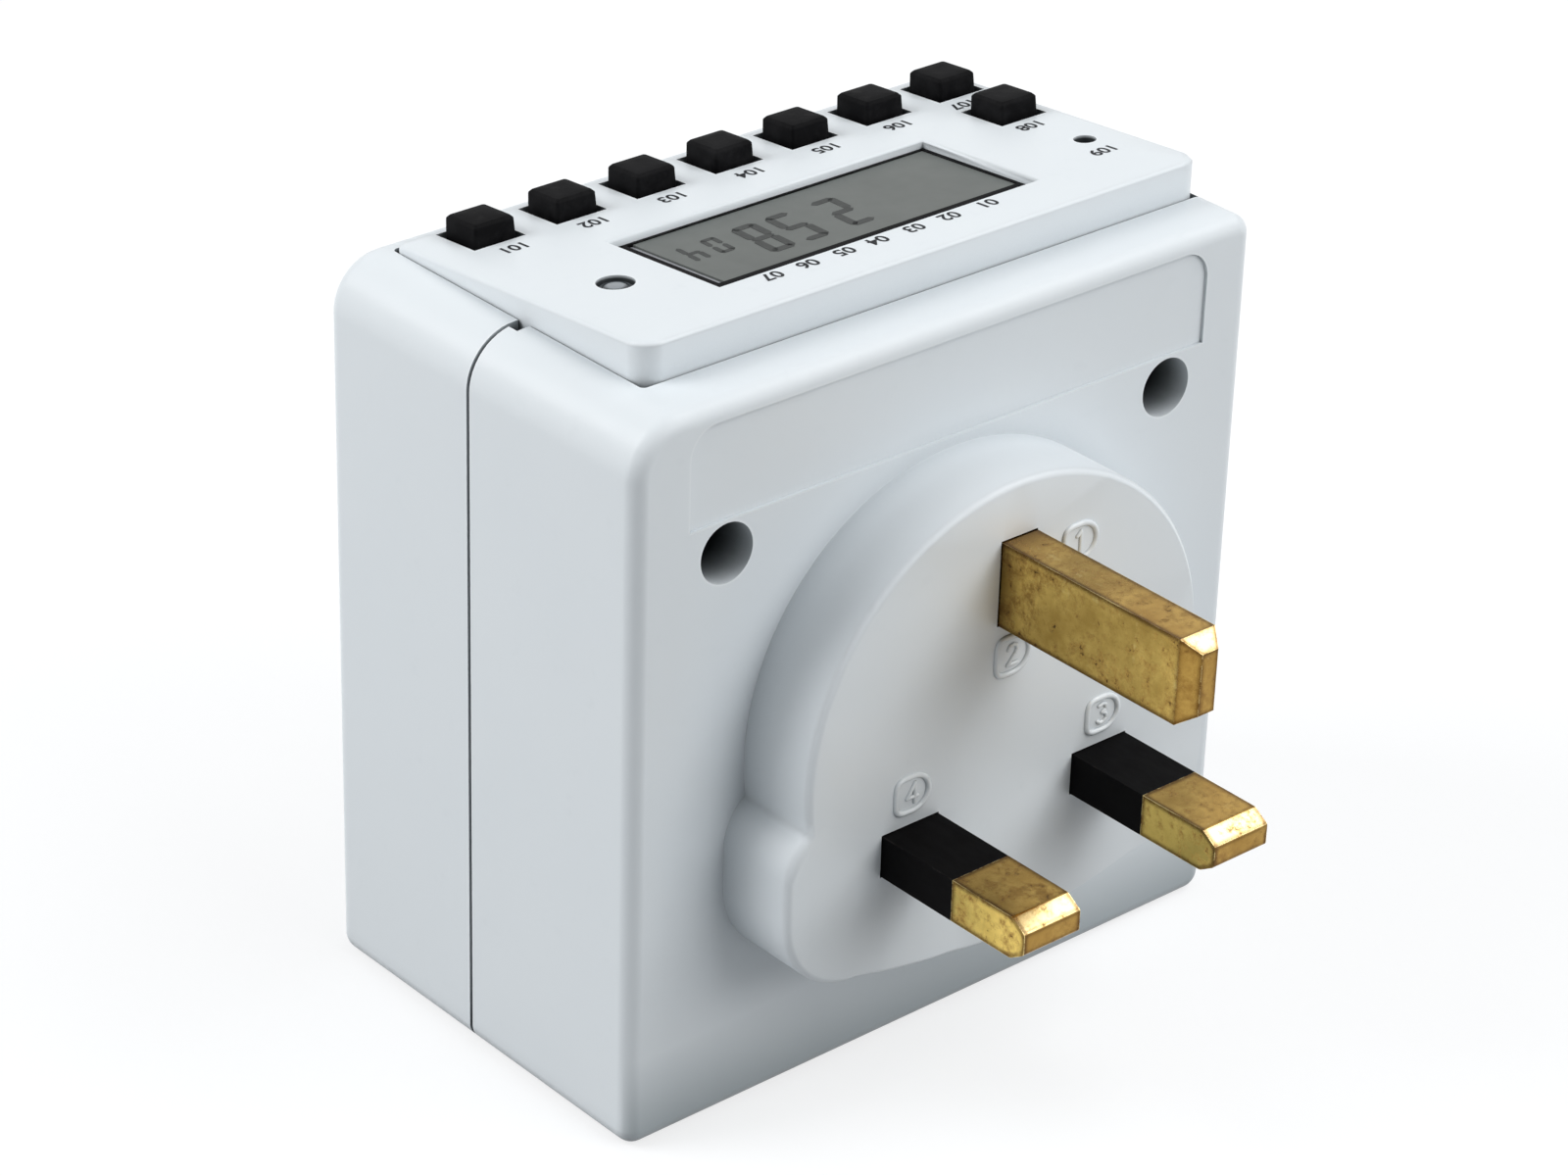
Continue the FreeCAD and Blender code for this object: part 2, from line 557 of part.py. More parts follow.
def floor_hook(x):
    """Cantilever hook on the front shell's floor that snaps into the rear shell."""
    floor, lift = WALL, WALL + HOOK_LIFT
    rim_y = SEAM_Y - SEAM_GAP / 2
    root_y, tip_y = rim_y - HOOK_ROOT, rim_y + HOOK_REACH
    barb_y = tip_y - HOOK_BARB * 2
    return prism([
        (root_y, floor - WELD, 0), (rim_y, floor - WELD, 0), (rim_y, lift, 0),
        (barb_y - LAP_PLAY, lift, 0), (barb_y, lift - HOOK_BARB, 0), (tip_y - HOOK_BARB, lift - HOOK_BARB, 0),
        (tip_y, lift, 0), (tip_y, floor + HOOK_H, 0), (root_y, floor + HOOK_H, 0),
    ], "yz", x - HOOK_HALF_W, x + HOOK_HALF_W)


def aperture_cutters():
    """Socket apertures, each with a short splayed lead-in at the face."""
    fit = APERTURE_FIT / 2
    splay = APERTURE_SPLAY
    sizes = [(s * PIN_X, PIN_Z, LINE_W / 2 + fit, LINE_T / 2 + fit) for s in (-1, 1)]
    sizes.append((0.0, EARTH_Z, EARTH_W / 2 + fit, EARTH_T / 2 + fit))
    cutters = []
    for x, z, a, b in sizes:
        cutters.append(block(x, a, FRONT_Y - CUT, INNER_FRONT_Y + CUT, z - b, z + b))
        cutters.append(frustum(x - a - splay, x + a + splay, z - b - splay, z + b + splay,
                               FRONT_Y, FRONT_Y + splay, splay))
    return cutters


def rear_cover():
    """Plug-side shell with boss, screw wells, label recess, lap rabbet and hook pockets."""
    rim_y = SEAM_Y + SEAM_GAP / 2
    tongue_end = SEAM_Y - SEAM_GAP / 2 + LAP_DEPTH
    outer = prism(case_corners(0), "xz", rim_y, REAR_Y)
    outer = outer.makeFillet(REAR_EDGE_R, rim_edges(outer, REAR_Y))
    shell = outer.cut(prism(case_corners(WALL), "xz", rim_y - CUT, INNER_REAR_Y))
    tubes = both_sides(lambda s: cylinder((s * WELL_X, WELL_FLOOR_Y0, WELL_Z), (0, 1, 0), WELL_TUBE_R,
                                          INNER_REAR_Y + WELD - WELL_FLOOR_Y0))
    half = CLAMP_POST_SIDE / 2
    clamp_posts = both_sides(lambda s: block(s * CLAMP_POST_X, half, COLLAR_Y0, COLLAR_Y1 + WELD,
                                             CLAMP_POST_Z - half, CLAMP_POST_Z + half))
    rest_y = POWER_BOARD[3] - BOARD_REST[2] - BOARD_REST[1]
    body = fuse([shell, boss_outside()] + tubes + board_rests(rest_y))
    rabbet = prism(case_corners(WALL - LAP_THICK - LAP_PLAY), "xz", rim_y - CUT, tongue_end)
    body = fuse([cut(body, [boss_cavity(), rabbet])] + clamp_posts)
    top = CASE_H - LABEL_DOWN
    label = prism([
        (-SIDE + LABEL_INSET_X[0], top - LABEL_H, 0), (SIDE - LABEL_INSET_X[1], top - LABEL_H, 0),
        (SIDE - LABEL_INSET_X[1], top, LABEL_CORNER), (-SIDE + LABEL_INSET_X[0], top, LABEL_CORNER),
    ], "xz", REAR_Y - LABEL_DEPTH, REAR_Y + CUT)
    holes = pin_slots(PIN_FIT, INNER_REAR_Y, FACE_Y + CUT) + panel_opening() + [label, seam_notch()]
    hook_tip = SEAM_Y - SEAM_GAP / 2 + HOOK_REACH
    clamp_deep = CLAMP_SCREW[3] - CLAMP_T + SCREW_PLAY
    for s in (-1, 1):
        holes.append(cylinder((s * WELL_X, WELL_FLOOR_Y1, WELL_Z), (0, 1, 0), WELL_R, REAR_Y))
        holes.append(screw_hole(CASE_SCREW, s * WELL_X, WELL_FLOOR_Y0 - CUT, WELL_Z,
                                WELL_FLOOR_Y1 - WELL_FLOOR_Y0 + 2 * CUT, SCREW_PLAY))
        holes.append(screw_hole(CLAMP_SCREW, s * CLAMP_POST_X, COLLAR_Y0 - CUT, CLAMP_POST_Z,
                                clamp_deep + CUT, PILOT_PLAY))
        holes.append(block(s * HOOK_X, HOOK_HALF_W + GUIDE_PLAY, hook_tip - 2 * HOOK_BARB - GUIDE_PLAY,
                           hook_tip + WELD, WALL / 2, WALL + LAP_PLAY))
    return cut(body, holes)


def control_panel():
    """Wedge-shaped top panel: sloping face, rims, skirt with catch flanges, window and holes."""
    front_r, rear_r = PANEL_CORNERS
    plan = [(PANEL_X0, PANEL_Y0, front_r), (PANEL_X1, PANEL_Y0, front_r),
            (PANEL_X1, PANEL_Y1, rear_r), (PANEL_X0, PANEL_Y1, rear_r)]
    stock_z = PANEL_MID_Z + SIDE
    solid = prism(plan, "xy", PANEL_REST_Z, stock_z).cut(tilted_slab(CASE_W, 0))
    face = max((f for f in solid.Faces if f.normalAt(0, 0).z > 0.9), key=lambda f: f.CenterOfMass.z)
    solid = solid.makeChamfer(PANEL_BEVEL, face.Edges)
    catch_z = PANEL_SKIRT_Z + CATCH_T
    side_y0, side_y1 = PANEL_Y0 + CATCH_IN_SIDE[0], PANEL_Y1 - CATCH_IN_SIDE[1]
    rear_x0, rear_x1 = PANEL_X0 + CATCH_IN_REAR[0], PANEL_X1 - CATCH_IN_REAR[1]
    side_x, rear_y = PANEL_X1 - PANEL_RIM, PANEL_Y1 - PANEL_RIM
    skirt = fuse([
        box(side_x, PANEL_X1, side_y0, side_y1, PANEL_SKIRT_Z, PANEL_REST_Z + WELD),
        box(side_x, PANEL_X1 + CATCH_REACH_SIDE, side_y0, side_y1, PANEL_SKIRT_Z, catch_z),
        box(rear_x0, rear_x1, rear_y, PANEL_Y1, PANEL_SKIRT_Z, PANEL_REST_Z + WELD),
        box(rear_x0, rear_x1, rear_y, PANEL_Y1 + CATCH_REACH_REAR, PANEL_SKIRT_Z, catch_z),
    ])
    hollow = box(PANEL_X0 + PANEL_THIN_RIM, side_x, PANEL_Y0 + PANEL_THIN_RIM, rear_y,
                 PANEL_REST_Z - CUT, stock_z).cut(tilted_slab(CASE_W, -PANEL_T))
    bosses = [tilted(cylinder((x, y, BOARD_TOP_W), (0, 0, 1), BOARD_BOSS_R, -PANEL_T - BOARD_TOP_W + WELD))
              for x, y in BOARD_SCREWS]
    body = fuse([solid.cut(hollow), skirt] + bosses)
    wx0, wx1, wy0, wy1 = WINDOW
    lx0, lx1, ly0, ly1 = glass_outline(LCD_PLAY)
    bevel = frustum(wx0 - WINDOW_BEVEL, wx1 + WINDOW_BEVEL, -wy1 - WINDOW_BEVEL, -wy0 + WINDOW_BEVEL,
                    0, -WINDOW_BEVEL, WINDOW_BEVEL)
    through = [
        box(wx0, wx1, wy0, wy1, -PANEL_T - CUT, CUT),
        bevel.rotated(Vector(0, 0, 0), Vector(1, 0, 0), 90),
        box(lx0, lx1, ly0, ly1, -PANEL_T - CUT, -LCD_LIP),
    ]
    half, depth = KEY_HOLE / 2, PANEL_T + 2 * CUT
    through += [box(x - half, x + half, y - half, y + half, -PANEL_T - CUT, CUT)
                for x, y in KEY_CENTRES.values()]
    for (x, y), radius in ((LED_XY, LED_R + LED_HOLE_PLAY), (RESET_XY, RESET_HOLE_R)):
        through.append(cylinder((x, y, -PANEL_T - CUT), (0, 0, 1), radius, depth))
    pilot_len = BOARD_SCREW[3] - BOARD_T + SCREW_PLAY
    through += [cylinder((x, y, BOARD_TOP_W - CUT), (0, 0, 1), BOARD_SCREW[2] + PILOT_PLAY, pilot_len + CUT)
                for x, y in BOARD_SCREWS]
    return cut(body, [tilted(tool) for tool in through])


def key():
    """Silicone key in its own frame: bevelled cap, flange under the panel, stem and contact pad."""
    half = KEY_SIDE / 2
    cap = box(-half, half, -half, half, -PANEL_T - WELD, KEY_RISE)
    cap = cap.makeChamfer(KEY_BEVEL, [e for e in cap.Edges if e.BoundBox.ZLength > KEY_RISE])
    cap = cap.makeChamfer(KEY_TOP_BEVEL, top_edges(cap, KEY_RISE))
    fx0, fx1, fy0, fy1 = KEY_FLANGE
    flange = box(fx0, fx1, fy0, fy1, -PANEL_T - KEY_FLANGE_T, -PANEL_T)
    stem, pad = KEY_STEM / 2, KEY_PAD / 2
    return fuse([
        cap, flange,
        box(-stem, stem, -stem, stem, KEY_STEM_FOOT_W, -PANEL_T - KEY_FLANGE_T / 2),
        box(-pad, pad, -pad, pad, KEY_STEM_FOOT_W - KEY_PAD_T, KEY_STEM_FOOT_W + KEY_PAD_T / 2),
    ])


def keypad_mat():
    """Silicone mat under the keys with a collar round each stem."""
    low, high = BOARD_TOP_W, BOARD_TOP_W + MAT_T
    well, collar = MAT_WELL / 2, MAT_COLLAR / 2
    rx, ry = RANDOM_KEY
    row = box(KEY_LAST_X - collar, KEY_FIRST_X + MAT_MARGIN,
              KEY_ROW_Y - collar, KEY_ROW_Y + MAT_MARGIN, low, high)
    ear = box(rx - collar, rx + MAT_MARGIN, KEY_ROW_Y, ry + MAT_MARGIN, low, high)
    collars, wells = [], []
    for x, y in KEY_CENTRES.values():
        collars.append(box(x - collar, x + collar, y - collar, y + collar, low, low + MAT_COLLAR_T))
        wells.append(box(x - well, x + well, y - well, y + well, low - CUT, low + MAT_COLLAR_T + CUT))
    return tilted(cut(fuse([row, ear] + collars), wells))


def control_board():
    """Board under the panel with screw holes."""
    board = box(*BOARD, BOARD_UNDER_W, BOARD_TOP_W)
    radius = BOARD_SCREW[2] + SCREW_PLAY
    return tilted(cut(board, [cylinder((x, y, BOARD_UNDER_W - CUT), (0, 0, 1), radius, BOARD_T + 2 * CUT)
                              for x, y in BOARD_SCREWS]))


def glass_outline(play):
    """Edges of the display glass in the panel plane, grown by play."""
    wx0, wx1, wy0, wy1 = WINDOW
    grow_x, grow_y = GLASS_MARGIN_X + play, GLASS_MARGIN_Y + play
    return wx0 - grow_x, wx1 + grow_x, wy0 - grow_y, wy1 + grow_y


def window_inset(inset):
    """Edges of the window in the panel plane, drawn in by (left, right, front, rear)."""
    return WINDOW[0] + inset[0], WINDOW[1] - inset[1], WINDOW[2] + inset[2], WINDOW[3] - inset[3]


def lcd_parts():
    """Display stack: gasket under the lip, polarising film, glass, frame and contact strip."""
    lx0, lx1, ly0, ly1 = glass_outline(0)
    glass_top = -LCD_LIP - GASKET_T
    glass_low = glass_top - GLASS_T
    gasket = box(lx0, lx1, ly0, ly1, glass_top, -LCD_LIP)
    gasket = gasket.cut(box(*window_inset(GASKET_INSET), glass_top - CUT, 0))
    wall, step = LCD_FRAME_WALL, LCD_FRAME_STEP
    px0, px1, py0, py1 = glass_outline(LCD_PLAY)
    frame = box(lx0 - wall, lx1 + wall, ly0 - wall, ly1 + wall, BOARD_TOP_W, -PANEL_T)
    frame = cut(frame, [
        box(px0, px1, py0, py1, glass_low, 0),
        box(lx0 + step, lx1 - step, ly0 + step, py1, BOARD_TOP_W - CUT, glass_low + LCD_PLAY),
    ])
    strip = box(lx0 + STRIP_INSET, lx1 - STRIP_INSET, ly1 - STRIP_Y[0], ly1 - STRIP_Y[1],
                BOARD_TOP_W, glass_low)
    parts = {
        "lcd_gasket": gasket,
        "lcd_glass": box(lx0, lx1, ly0, ly1, glass_low, glass_top),
        "lcd_film": box(*window_inset(FILM_INSET), glass_top, glass_top + FILM_T),
        "lcd_frame": frame,
        "contact_strip": strip,
    }
    return {name: tilted(shape) for name, shape in parts.items()}


def status_led():
    """Three millimetre indicator: domed lens and two leads."""
    x, y = LED_XY
    profile = [(0, LED_FOOT), (LED_R, LED_FOOT), (LED_R, LED_SHOULDER), (LED_R / 2, LED_TIP), (0, LED_TIP)]
    loop = [Vector(x + r, y, BOARD_TOP_W + h) for r, h in profile + profile[:1]]
    lens = Part.Face(Part.makePolygon(loop)).revolve(Vector(x, y, 0), Vector(0, 0, 1), 360)
    half = LED_LEAD / 2
    leads = both_sides(lambda s: box(x + s * LED_LEAD_X - half, x + s * LED_LEAD_X + half, y - half, y + half,
                                     BOARD_TOP_W, BOARD_TOP_W + LED_FOOT + PILOT_PLAY))
    return tilted(fuse([lens] + leads))


def reset_parts():
    """Small push switch under the pinhole: body and moving plunger."""
    x, y = RESET_XY
    low = BOARD_TOP_W
    left, right, half, height = RESET_BODY
    body = box(x - left, x + right, y - half, y + half, low, low + height)
    body = body.cut(cylinder((x, y, low + height - PLUNGER_WELL), (0, 0, 1),
                             PLUNGER_R + PLUNGER_PLAY, PLUNGER_WELL + CUT))
    plunger = cylinder((x, y, low + PLUNGER_FOOT), (0, 0, 1), PLUNGER_R, PLUNGER_LEN)
    return {"reset_switch": tilted(body), "reset_plunger": tilted(plunger)}


def board_underside_parts():
    """Parts soldered or bonded under the control board."""
    low = BOARD_UNDER_W
    cell_x = (COLUMN_HALF + WELL_X - FRONT_POST_R) / 2
    cell = cylinder((cell_x, BOARD[2] + CELL_IN_Y, low - CELL_T), (0, 0, 1), CELL_R, CELL_T)
    chip_x, chip_y = BOARD[0] + CHIP_IN[0], BOARD[2] + CHIP_IN[1]
    chip = box(chip_x, chip_x + CHIP_SIDE, chip_y, chip_y + CHIP_SIDE, low - CHIP_T, low)
    crystal = cylinder((BOARD[0] + CRYSTAL_IN[0], BOARD[2] + CRYSTAL_IN[1], low - CRYSTAL_R), (0, 1, 0),
                       CRYSTAL_R, CRYSTAL_LEN)
    return {
        "backup_cell": tilted(cell),
        "controller_chip": tilted(chip),
        "clock_crystal": tilted(crystal),
    }


def bent_strip(points, thickness, plane, low, high):
    """Sheet-metal strip: centreline points thickened to both sides and pulled to its width."""
    half = thickness / 2
    left, right = [], []
    for i, (a, b) in enumerate(points):
        here = Vector(a, b, 0)
        ways = []
        if i > 0:
            ways.append((here - Vector(*points[i - 1], 0)).normalize())
        if i < len(points) - 1:
            ways.append((Vector(*points[i + 1], 0) - here).normalize())
        along = ways[0] + ways[-1]
        along.normalize()
        normal = Vector(-along.y, along.x, 0)
        stretch = half / max(normal.dot(Vector(-ways[0].y, ways[0].x, 0)), MITRE_LEAST)
        left.append(here + normal * stretch)
        right.append(here - normal * stretch)
    loop = [(p.x, p.y, 0) for p in left] + [(p.x, p.y, 0) for p in reversed(right)]
    return prism(loop, plane, low, high)


def clip_points(centre, web_y):
    """Centreline of a socket clip: splayed mouth, two leaves and the web that joins them."""
    reach = CLIP_GAP / 2 + CLIP_T / 2
    web = web_y - CLIP_T / 2
    lead_y = CLIP_FRONT_Y + CLIP_LEAD
    return [
        (CLIP_FRONT_Y, centre - reach - CLIP_SPLAY), (lead_y, centre - reach), (web, centre - reach),
        (web, centre + reach), (lead_y, centre + reach), (CLIP_FRONT_Y, centre + reach + CLIP_SPLAY),
    ]


def contacts():
    """The three socket clips; two webs take a riveted pin tail, the live one has a board leg."""
    line = clip_points(PIN_Z, CARRIER_Y1)
    live = bent_strip(line, CLIP_T, "yz", PIN_X - CLIP_HALF_W, PIN_X + CLIP_HALF_W)
    leg = block(PIN_X, LEG_HALF_W, CARRIER_Y1 - CLIP_T, CARRIER_Y1, POWER_TOP_Z, PIN_Z - CLIP_GAP / 2)
    neutral = bent_strip(line, CLIP_T, "yz", -PIN_X - CLIP_HALF_W, -PIN_X + CLIP_HALF_W)
    across = [(x, y) for y, x in clip_points(0.0, EARTH_CARRIER_Y1)]
    earth = bent_strip(across, CLIP_T, "xy", EARTH_Z - EARTH_CLIP_HALF_W, EARTH_Z + EARTH_CLIP_HALF_W)
    return {
        "live_contact": fuse([live, leg]),
        "neutral_contact": neutral.cut(tenon(-PIN_X, CARRIER_Y1, PIN_Z)),
        "earth_contact": earth.cut(tenon(0, EARTH_CARRIER_Y1, EARTH_Z)),
    }


def contact_carrier():
    """Insulating block that holds the three clips behind the shutter."""
    front, face = CARRIER_Y0, CARRIER_Y0 + CARRIER_FACE
    block_low, block_high = PIN_Z - BLOCK_UNDER, PIN_Z + BLOCK_OVER
    column_low, column_high = EARTH_Z - COLUMN_UNDER, EARTH_Z + COLUMN_OVER
    neck_half, neck_t = CARRIER_NECK
    ear_x, ear_z, ear_t = CARRIER_EAR
    body = fuse([
        block(0, BLOCK_HALF, front, CARRIER_Y1, block_low, block_high),
        block(0, COLUMN_HALF, front, EARTH_CARRIER_Y1, column_low, column_high),
        block(0, neck_half, front, front + neck_t, block_high - CUT, column_low + CUT),
        block(0, CARRIER_POST_X + ear_x, front, front + ear_t,
              CARRIER_POST_Z - ear_z, CARRIER_POST_Z + ear_z),
    ])
    tools = []
    mouth_x, mouth_z = LINE_W / 2 + MOUTH_PLAY, LINE_T / 2 + MOUTH_PLAY
    for s in (-1, 1):
        x = s * PIN_X
        tools.append(block(x, CLIP_HALF_W, face, CARRIER_Y1 + CUT, PIN_Z - CLIP_POCKET, PIN_Z + CLIP_POCKET))
        tools.append(block(x, mouth_x, front - CUT, face + CUT, PIN_Z - mouth_z, PIN_Z + mouth_z))
        tools.append(screw_hole(CARRIER_SCREW, s * CARRIER_POST_X, front - CUT, CARRIER_POST_Z,
                                ear_t + 2 * CUT, SCREW_PLAY))
    tools.append(block(PIN_X, LEG_HALF_W + SCREW_PLAY, CARRIER_Y1 - CLIP_T * 2, CARRIER_Y1 + CUT,
                       block_low - CUT, PIN_Z))
    tools.append(block(0, CLIP_POCKET, face, EARTH_CARRIER_Y1 + CUT,
                       EARTH_Z - EARTH_CLIP_HALF_W, EARTH_Z + EARTH_CLIP_HALF_W))
    tall = EARTH_T / 2 + MOUTH_PLAY
    tools.append(block(0, EARTH_W / 2 + MOUTH_PLAY, front - CUT, face + CUT, EARTH_Z - tall, EARTH_Z + tall))
    return cut(body, tools)


def shutter():
    """Two ramps joined by a bar: plug pins press the slopes and the shutter drops."""
    section = [
        (SHUTTER_Y0, SHUTTER_Z0, 0), (SHUTTER_Y1, SHUTTER_Z0, 0), (SHUTTER_Y1, SHUTTER_Z1, 0),
        (SHUTTER_Y1 - SHUTTER_CREST, SHUTTER_Z1, 0), (SHUTTER_Y0, SHUTTER_RAMP_Z, 0),
    ]
    ramps = [prism(section, "yz", SHUTTER_INNER_X, SHUTTER_HALF_W),
             prism(section, "yz", -SHUTTER_HALF_W, -SHUTTER_INNER_X)]
    bar = block(0, SHUTTER_INNER_X, SHUTTER_Y0, SHUTTER_Y1, SHUTTER_Z0, SHUTTER_BAR_Z)
    return fuse(ramps + [bar])


def shutter_spring():
    """Folded strip spring between the seat and the shutter's bar."""
    low, high = SPRING_SEAT_Z + SPRING_T / 2, SHUTTER_Z0 - SPRING_T / 2
    step = (high - low) / SPRING_FOLDS
    points = [(0.0, low)]
    points += [((-1) ** i * SPRING_REACH, low + step * i) for i in range(SPRING_FOLDS + 1)]
    points.append((0.0, high))
    middle_y = (SHUTTER_Y0 + SHUTTER_Y1) / 2
    return bent_strip(points, SPRING_T, "xz", middle_y - SPRING_W / 2, middle_y + SPRING_W / 2)


def tenon(x, root_y, z):
    """Square tenon through a clip's web with its end hammered over into a flat head."""
    neck, head = TENON / 2, TENON / 2 + TENON_HEAD
    back_y = root_y - CLIP_T
    return fuse([
        block(x, neck, back_y - TENON_HEAD_T / 2, root_y + PIN_FIT, z - neck, z + neck),
        block(x, head, back_y - TENON_HEAD_T, back_y, z - head, z + head),
    ])


def line_pin(s, tail_y, riveted):
    """Live or neutral pin: nosed blade, core under its sleeve, collar, tail and optional tenon."""
    x = s * PIN_X
    half = LINE_T / 2
    sleeve_y, nose_y = FACE_Y + SLEEVE_LEN, FACE_Y + LINE_LEN
    under, tip, over = NOSE_ROUND
    blade = prism([
        (sleeve_y, PIN_Z - half, 0), (nose_y - NOSE_LEN, PIN_Z - half, under),
        (nose_y, PIN_Z - LINE_NOSE_HALF, tip), (nose_y, PIN_Z + LINE_NOSE_HALF, tip),
        (nose_y - NOSE_LEN, PIN_Z + half, over), (sleeve_y, PIN_Z + half, 0),
    ], "yz", x - LINE_W / 2, x + LINE_W / 2)
    core_w, core_t = LINE_W / 2 - SLEEVE_WALL, half - SLEEVE_WALL
    collar_w, collar_t = LINE_COLLAR[0] / 2, LINE_COLLAR[1] / 2
    pieces = [
        blade,
        block(x, core_w, tail_y, sleeve_y + WELD, PIN_Z - core_t, PIN_Z + core_t),
        block(x, collar_w, COLLAR_Y0, COLLAR_Y1, PIN_Z - collar_t, PIN_Z + collar_t),
    ]
    if riveted:
        pieces.append(tenon(x, tail_y, PIN_Z))
    return fuse(pieces)


def pin_sleeve(s):
    """Insulating sleeve flush with the blade, from the collar to the bare brass."""
    x = s * PIN_X
    y0, y1 = COLLAR_Y1, FACE_Y + SLEEVE_LEN
    half_w, half_t = LINE_W / 2, LINE_T / 2
    outer = block(x, half_w, y0, y1, PIN_Z - half_t, PIN_Z + half_t)
    core_t = half_t - SLEEVE_WALL
    return outer.cut(block(x, half_w - SLEEVE_WALL, y0 - CUT, y1 + CUT, PIN_Z - core_t, PIN_Z + core_t))


def earth_pin():
    """Solid earth pin with a tapered tip, collar and a tail riveted through the earth clip."""
    tip_y = FACE_Y + EARTH_LEN
    a, b = EARTH_W / 2, EARTH_T / 2
    collar_w, collar_t = EARTH_COLLAR[0] / 2, EARTH_COLLAR[1] / 2
    tail_w, tail_t = EARTH_TAIL[0] / 2, EARTH_TAIL[1] / 2
    return fuse([
        block(0, a, COLLAR_Y0, tip_y - NOSE_LEN, EARTH_Z - b, EARTH_Z + b),
        frustum(-a, a, EARTH_Z - b, EARTH_Z + b, tip_y - NOSE_LEN, tip_y, EARTH_NOSE_INSET),
        block(0, collar_w, COLLAR_Y0, COLLAR_Y1, EARTH_Z - collar_t, EARTH_Z + collar_t),
        block(0, tail_w, EARTH_CARRIER_Y1, COLLAR_Y0 + WELD, EARTH_Z - tail_t, EARTH_Z + tail_t),
        tenon(0, EARTH_CARRIER_Y1, EARTH_Z),
    ])


def pin_clamp():
    """Plate that presses the three pin collars into the plug face."""
    y0, y1 = COLLAR_Y0 - CLAMP_T, COLLAR_Y0
    half = CLAMP_POST_X + CLAMP_MARGIN
    shoulder = CLAMP_POST_Z + CLAMP_MARGIN
    plate = prism([(-half, CLAMP_LOW_Z, 0), (half, CLAMP_LOW_Z, 0), (half, shoulder, 0),
                   (CLAMP_TOP_HALF, CLAMP_HIGH_Z, 0), (-CLAMP_TOP_HALF, CLAMP_HIGH_Z, 0),
                   (-half, shoulder, 0)], "xz", y0, y1)
    core_w = LINE_W / 2 - SLEEVE_WALL + CLAMP_PIN_PLAY
    core_t = LINE_T / 2 - SLEEVE_WALL + CLAMP_PIN_PLAY
    tail_w, tail_t = EARTH_TAIL[0] / 2 + CLAMP_PIN_PLAY, EARTH_TAIL[1] / 2 + CLAMP_PIN_PLAY
    tools = both_sides(lambda s: block(s * PIN_X, core_w, y0 - CUT, y1 + CUT, PIN_Z - core_t, PIN_Z + core_t))
    tools += both_sides(lambda s: screw_hole(CLAMP_SCREW, s * CLAMP_POST_X, y0 - CUT, CLAMP_POST_Z,
                                             CLAMP_T + 2 * CUT, SCREW_PLAY))
    tools.append(block(0, tail_w, y0 - CUT, y1 + CUT, EARTH_Z - tail_t, EARTH_Z + tail_t))
    rib_w, rib_h, rib_t = CLAMP_RIB
    ribs = [block(0, rib_w / 2, y0 - rib_h, y0 + WELD, z, z + rib_t) for z in CLAMP_RIBS_Z]
    return cut(fuse([plate] + ribs), tools)


def power_parts():
    """Power board and the parts that stand on it."""
    z = POWER_TOP_Z
    x0, x1, y0, y1 = POWER_BOARD
    length, depth, height = RELAY
    relay_x0, relay_y1 = x1 - RELAY_INSET[0] - length, y1 - RELAY_INSET[1]
    relay = box(relay_x0, relay_x0 + length, relay_y1 - depth, relay_y1, z, z + height)
    relay = relay.makeChamfer(CASE_BEVEL, top_edges(relay, z + height))
    length, depth, height = FILM_CAP
    cap_x0, cap_y0 = x1 - FILM_CAP_INSET[0] - length, y0 + FILM_CAP_INSET[1]
    film_cap = box(cap_x0, cap_x0 + length, cap_y0, cap_y0 + depth, z, z + height)
    film_cap = film_cap.makeChamfer(CASE_BEVEL, [e for e in film_cap.Edges if e.BoundBox.ZLength > depth])
    can_x, can_y = x0 + CAN_INSET[0], y0 + CAN_INSET[1]
    length, depth, height = RECTIFIER
    rect_x0, rect_y0 = can_x + CAN_R + RECTIFIER_INSET[0], y0 + RECTIFIER_INSET[1]
    resistor_x1 = relay_x0 - RESISTOR_R
    return {
        "power_board": box(x0, x1, y0, y1, POWER_BOARD_Z, z),
        "relay": relay,
        "x_capacitor": film_cap,
        "smoothing_capacitor": cylinder((can_x, can_y, z), (0, 0, 1), CAN_R, CAN_H),
        "bridge_rectifier": box(rect_x0, rect_x0 + length, rect_y0, rect_y0 + depth, z, z + height),
        "dropper_resistor": cylinder((resistor_x1 - RESISTOR_LEN, RESISTOR_Y, z + RESISTOR_R), (1, 0, 0),
                                     RESISTOR_R, RESISTOR_LEN),
        "relay_transistor": transistor(x0 + TRANSISTOR_INSET, TRANSISTOR_Y, z),
    }


def transistor(x, y, z):
    """Small moulded transistor with one rounded side, on three legs."""
    half, leg = TRANSISTOR_W / 2, TRANSISTOR_LEG / 2
    back = y + TRANSISTOR_D
    body = prism([(x - half, y, 0), (x + half, y, 0), (x + half, back, back - y - SCREW_PLAY),
                  (x - half, back, back - y - SCREW_PLAY)],
                 "xy", z + TRANSISTOR_LEG_H, z + TRANSISTOR_LEG_H + TRANSISTOR_H)
    middle = y + TRANSISTOR_D / 2
    legs = [block(x + i * TRANSISTOR_PITCH, leg, middle - leg, middle + leg, z, z + TRANSISTOR_LEG_H + WELD)
            for i in (-1, 0, 1)]
    return fuse([body] + legs)


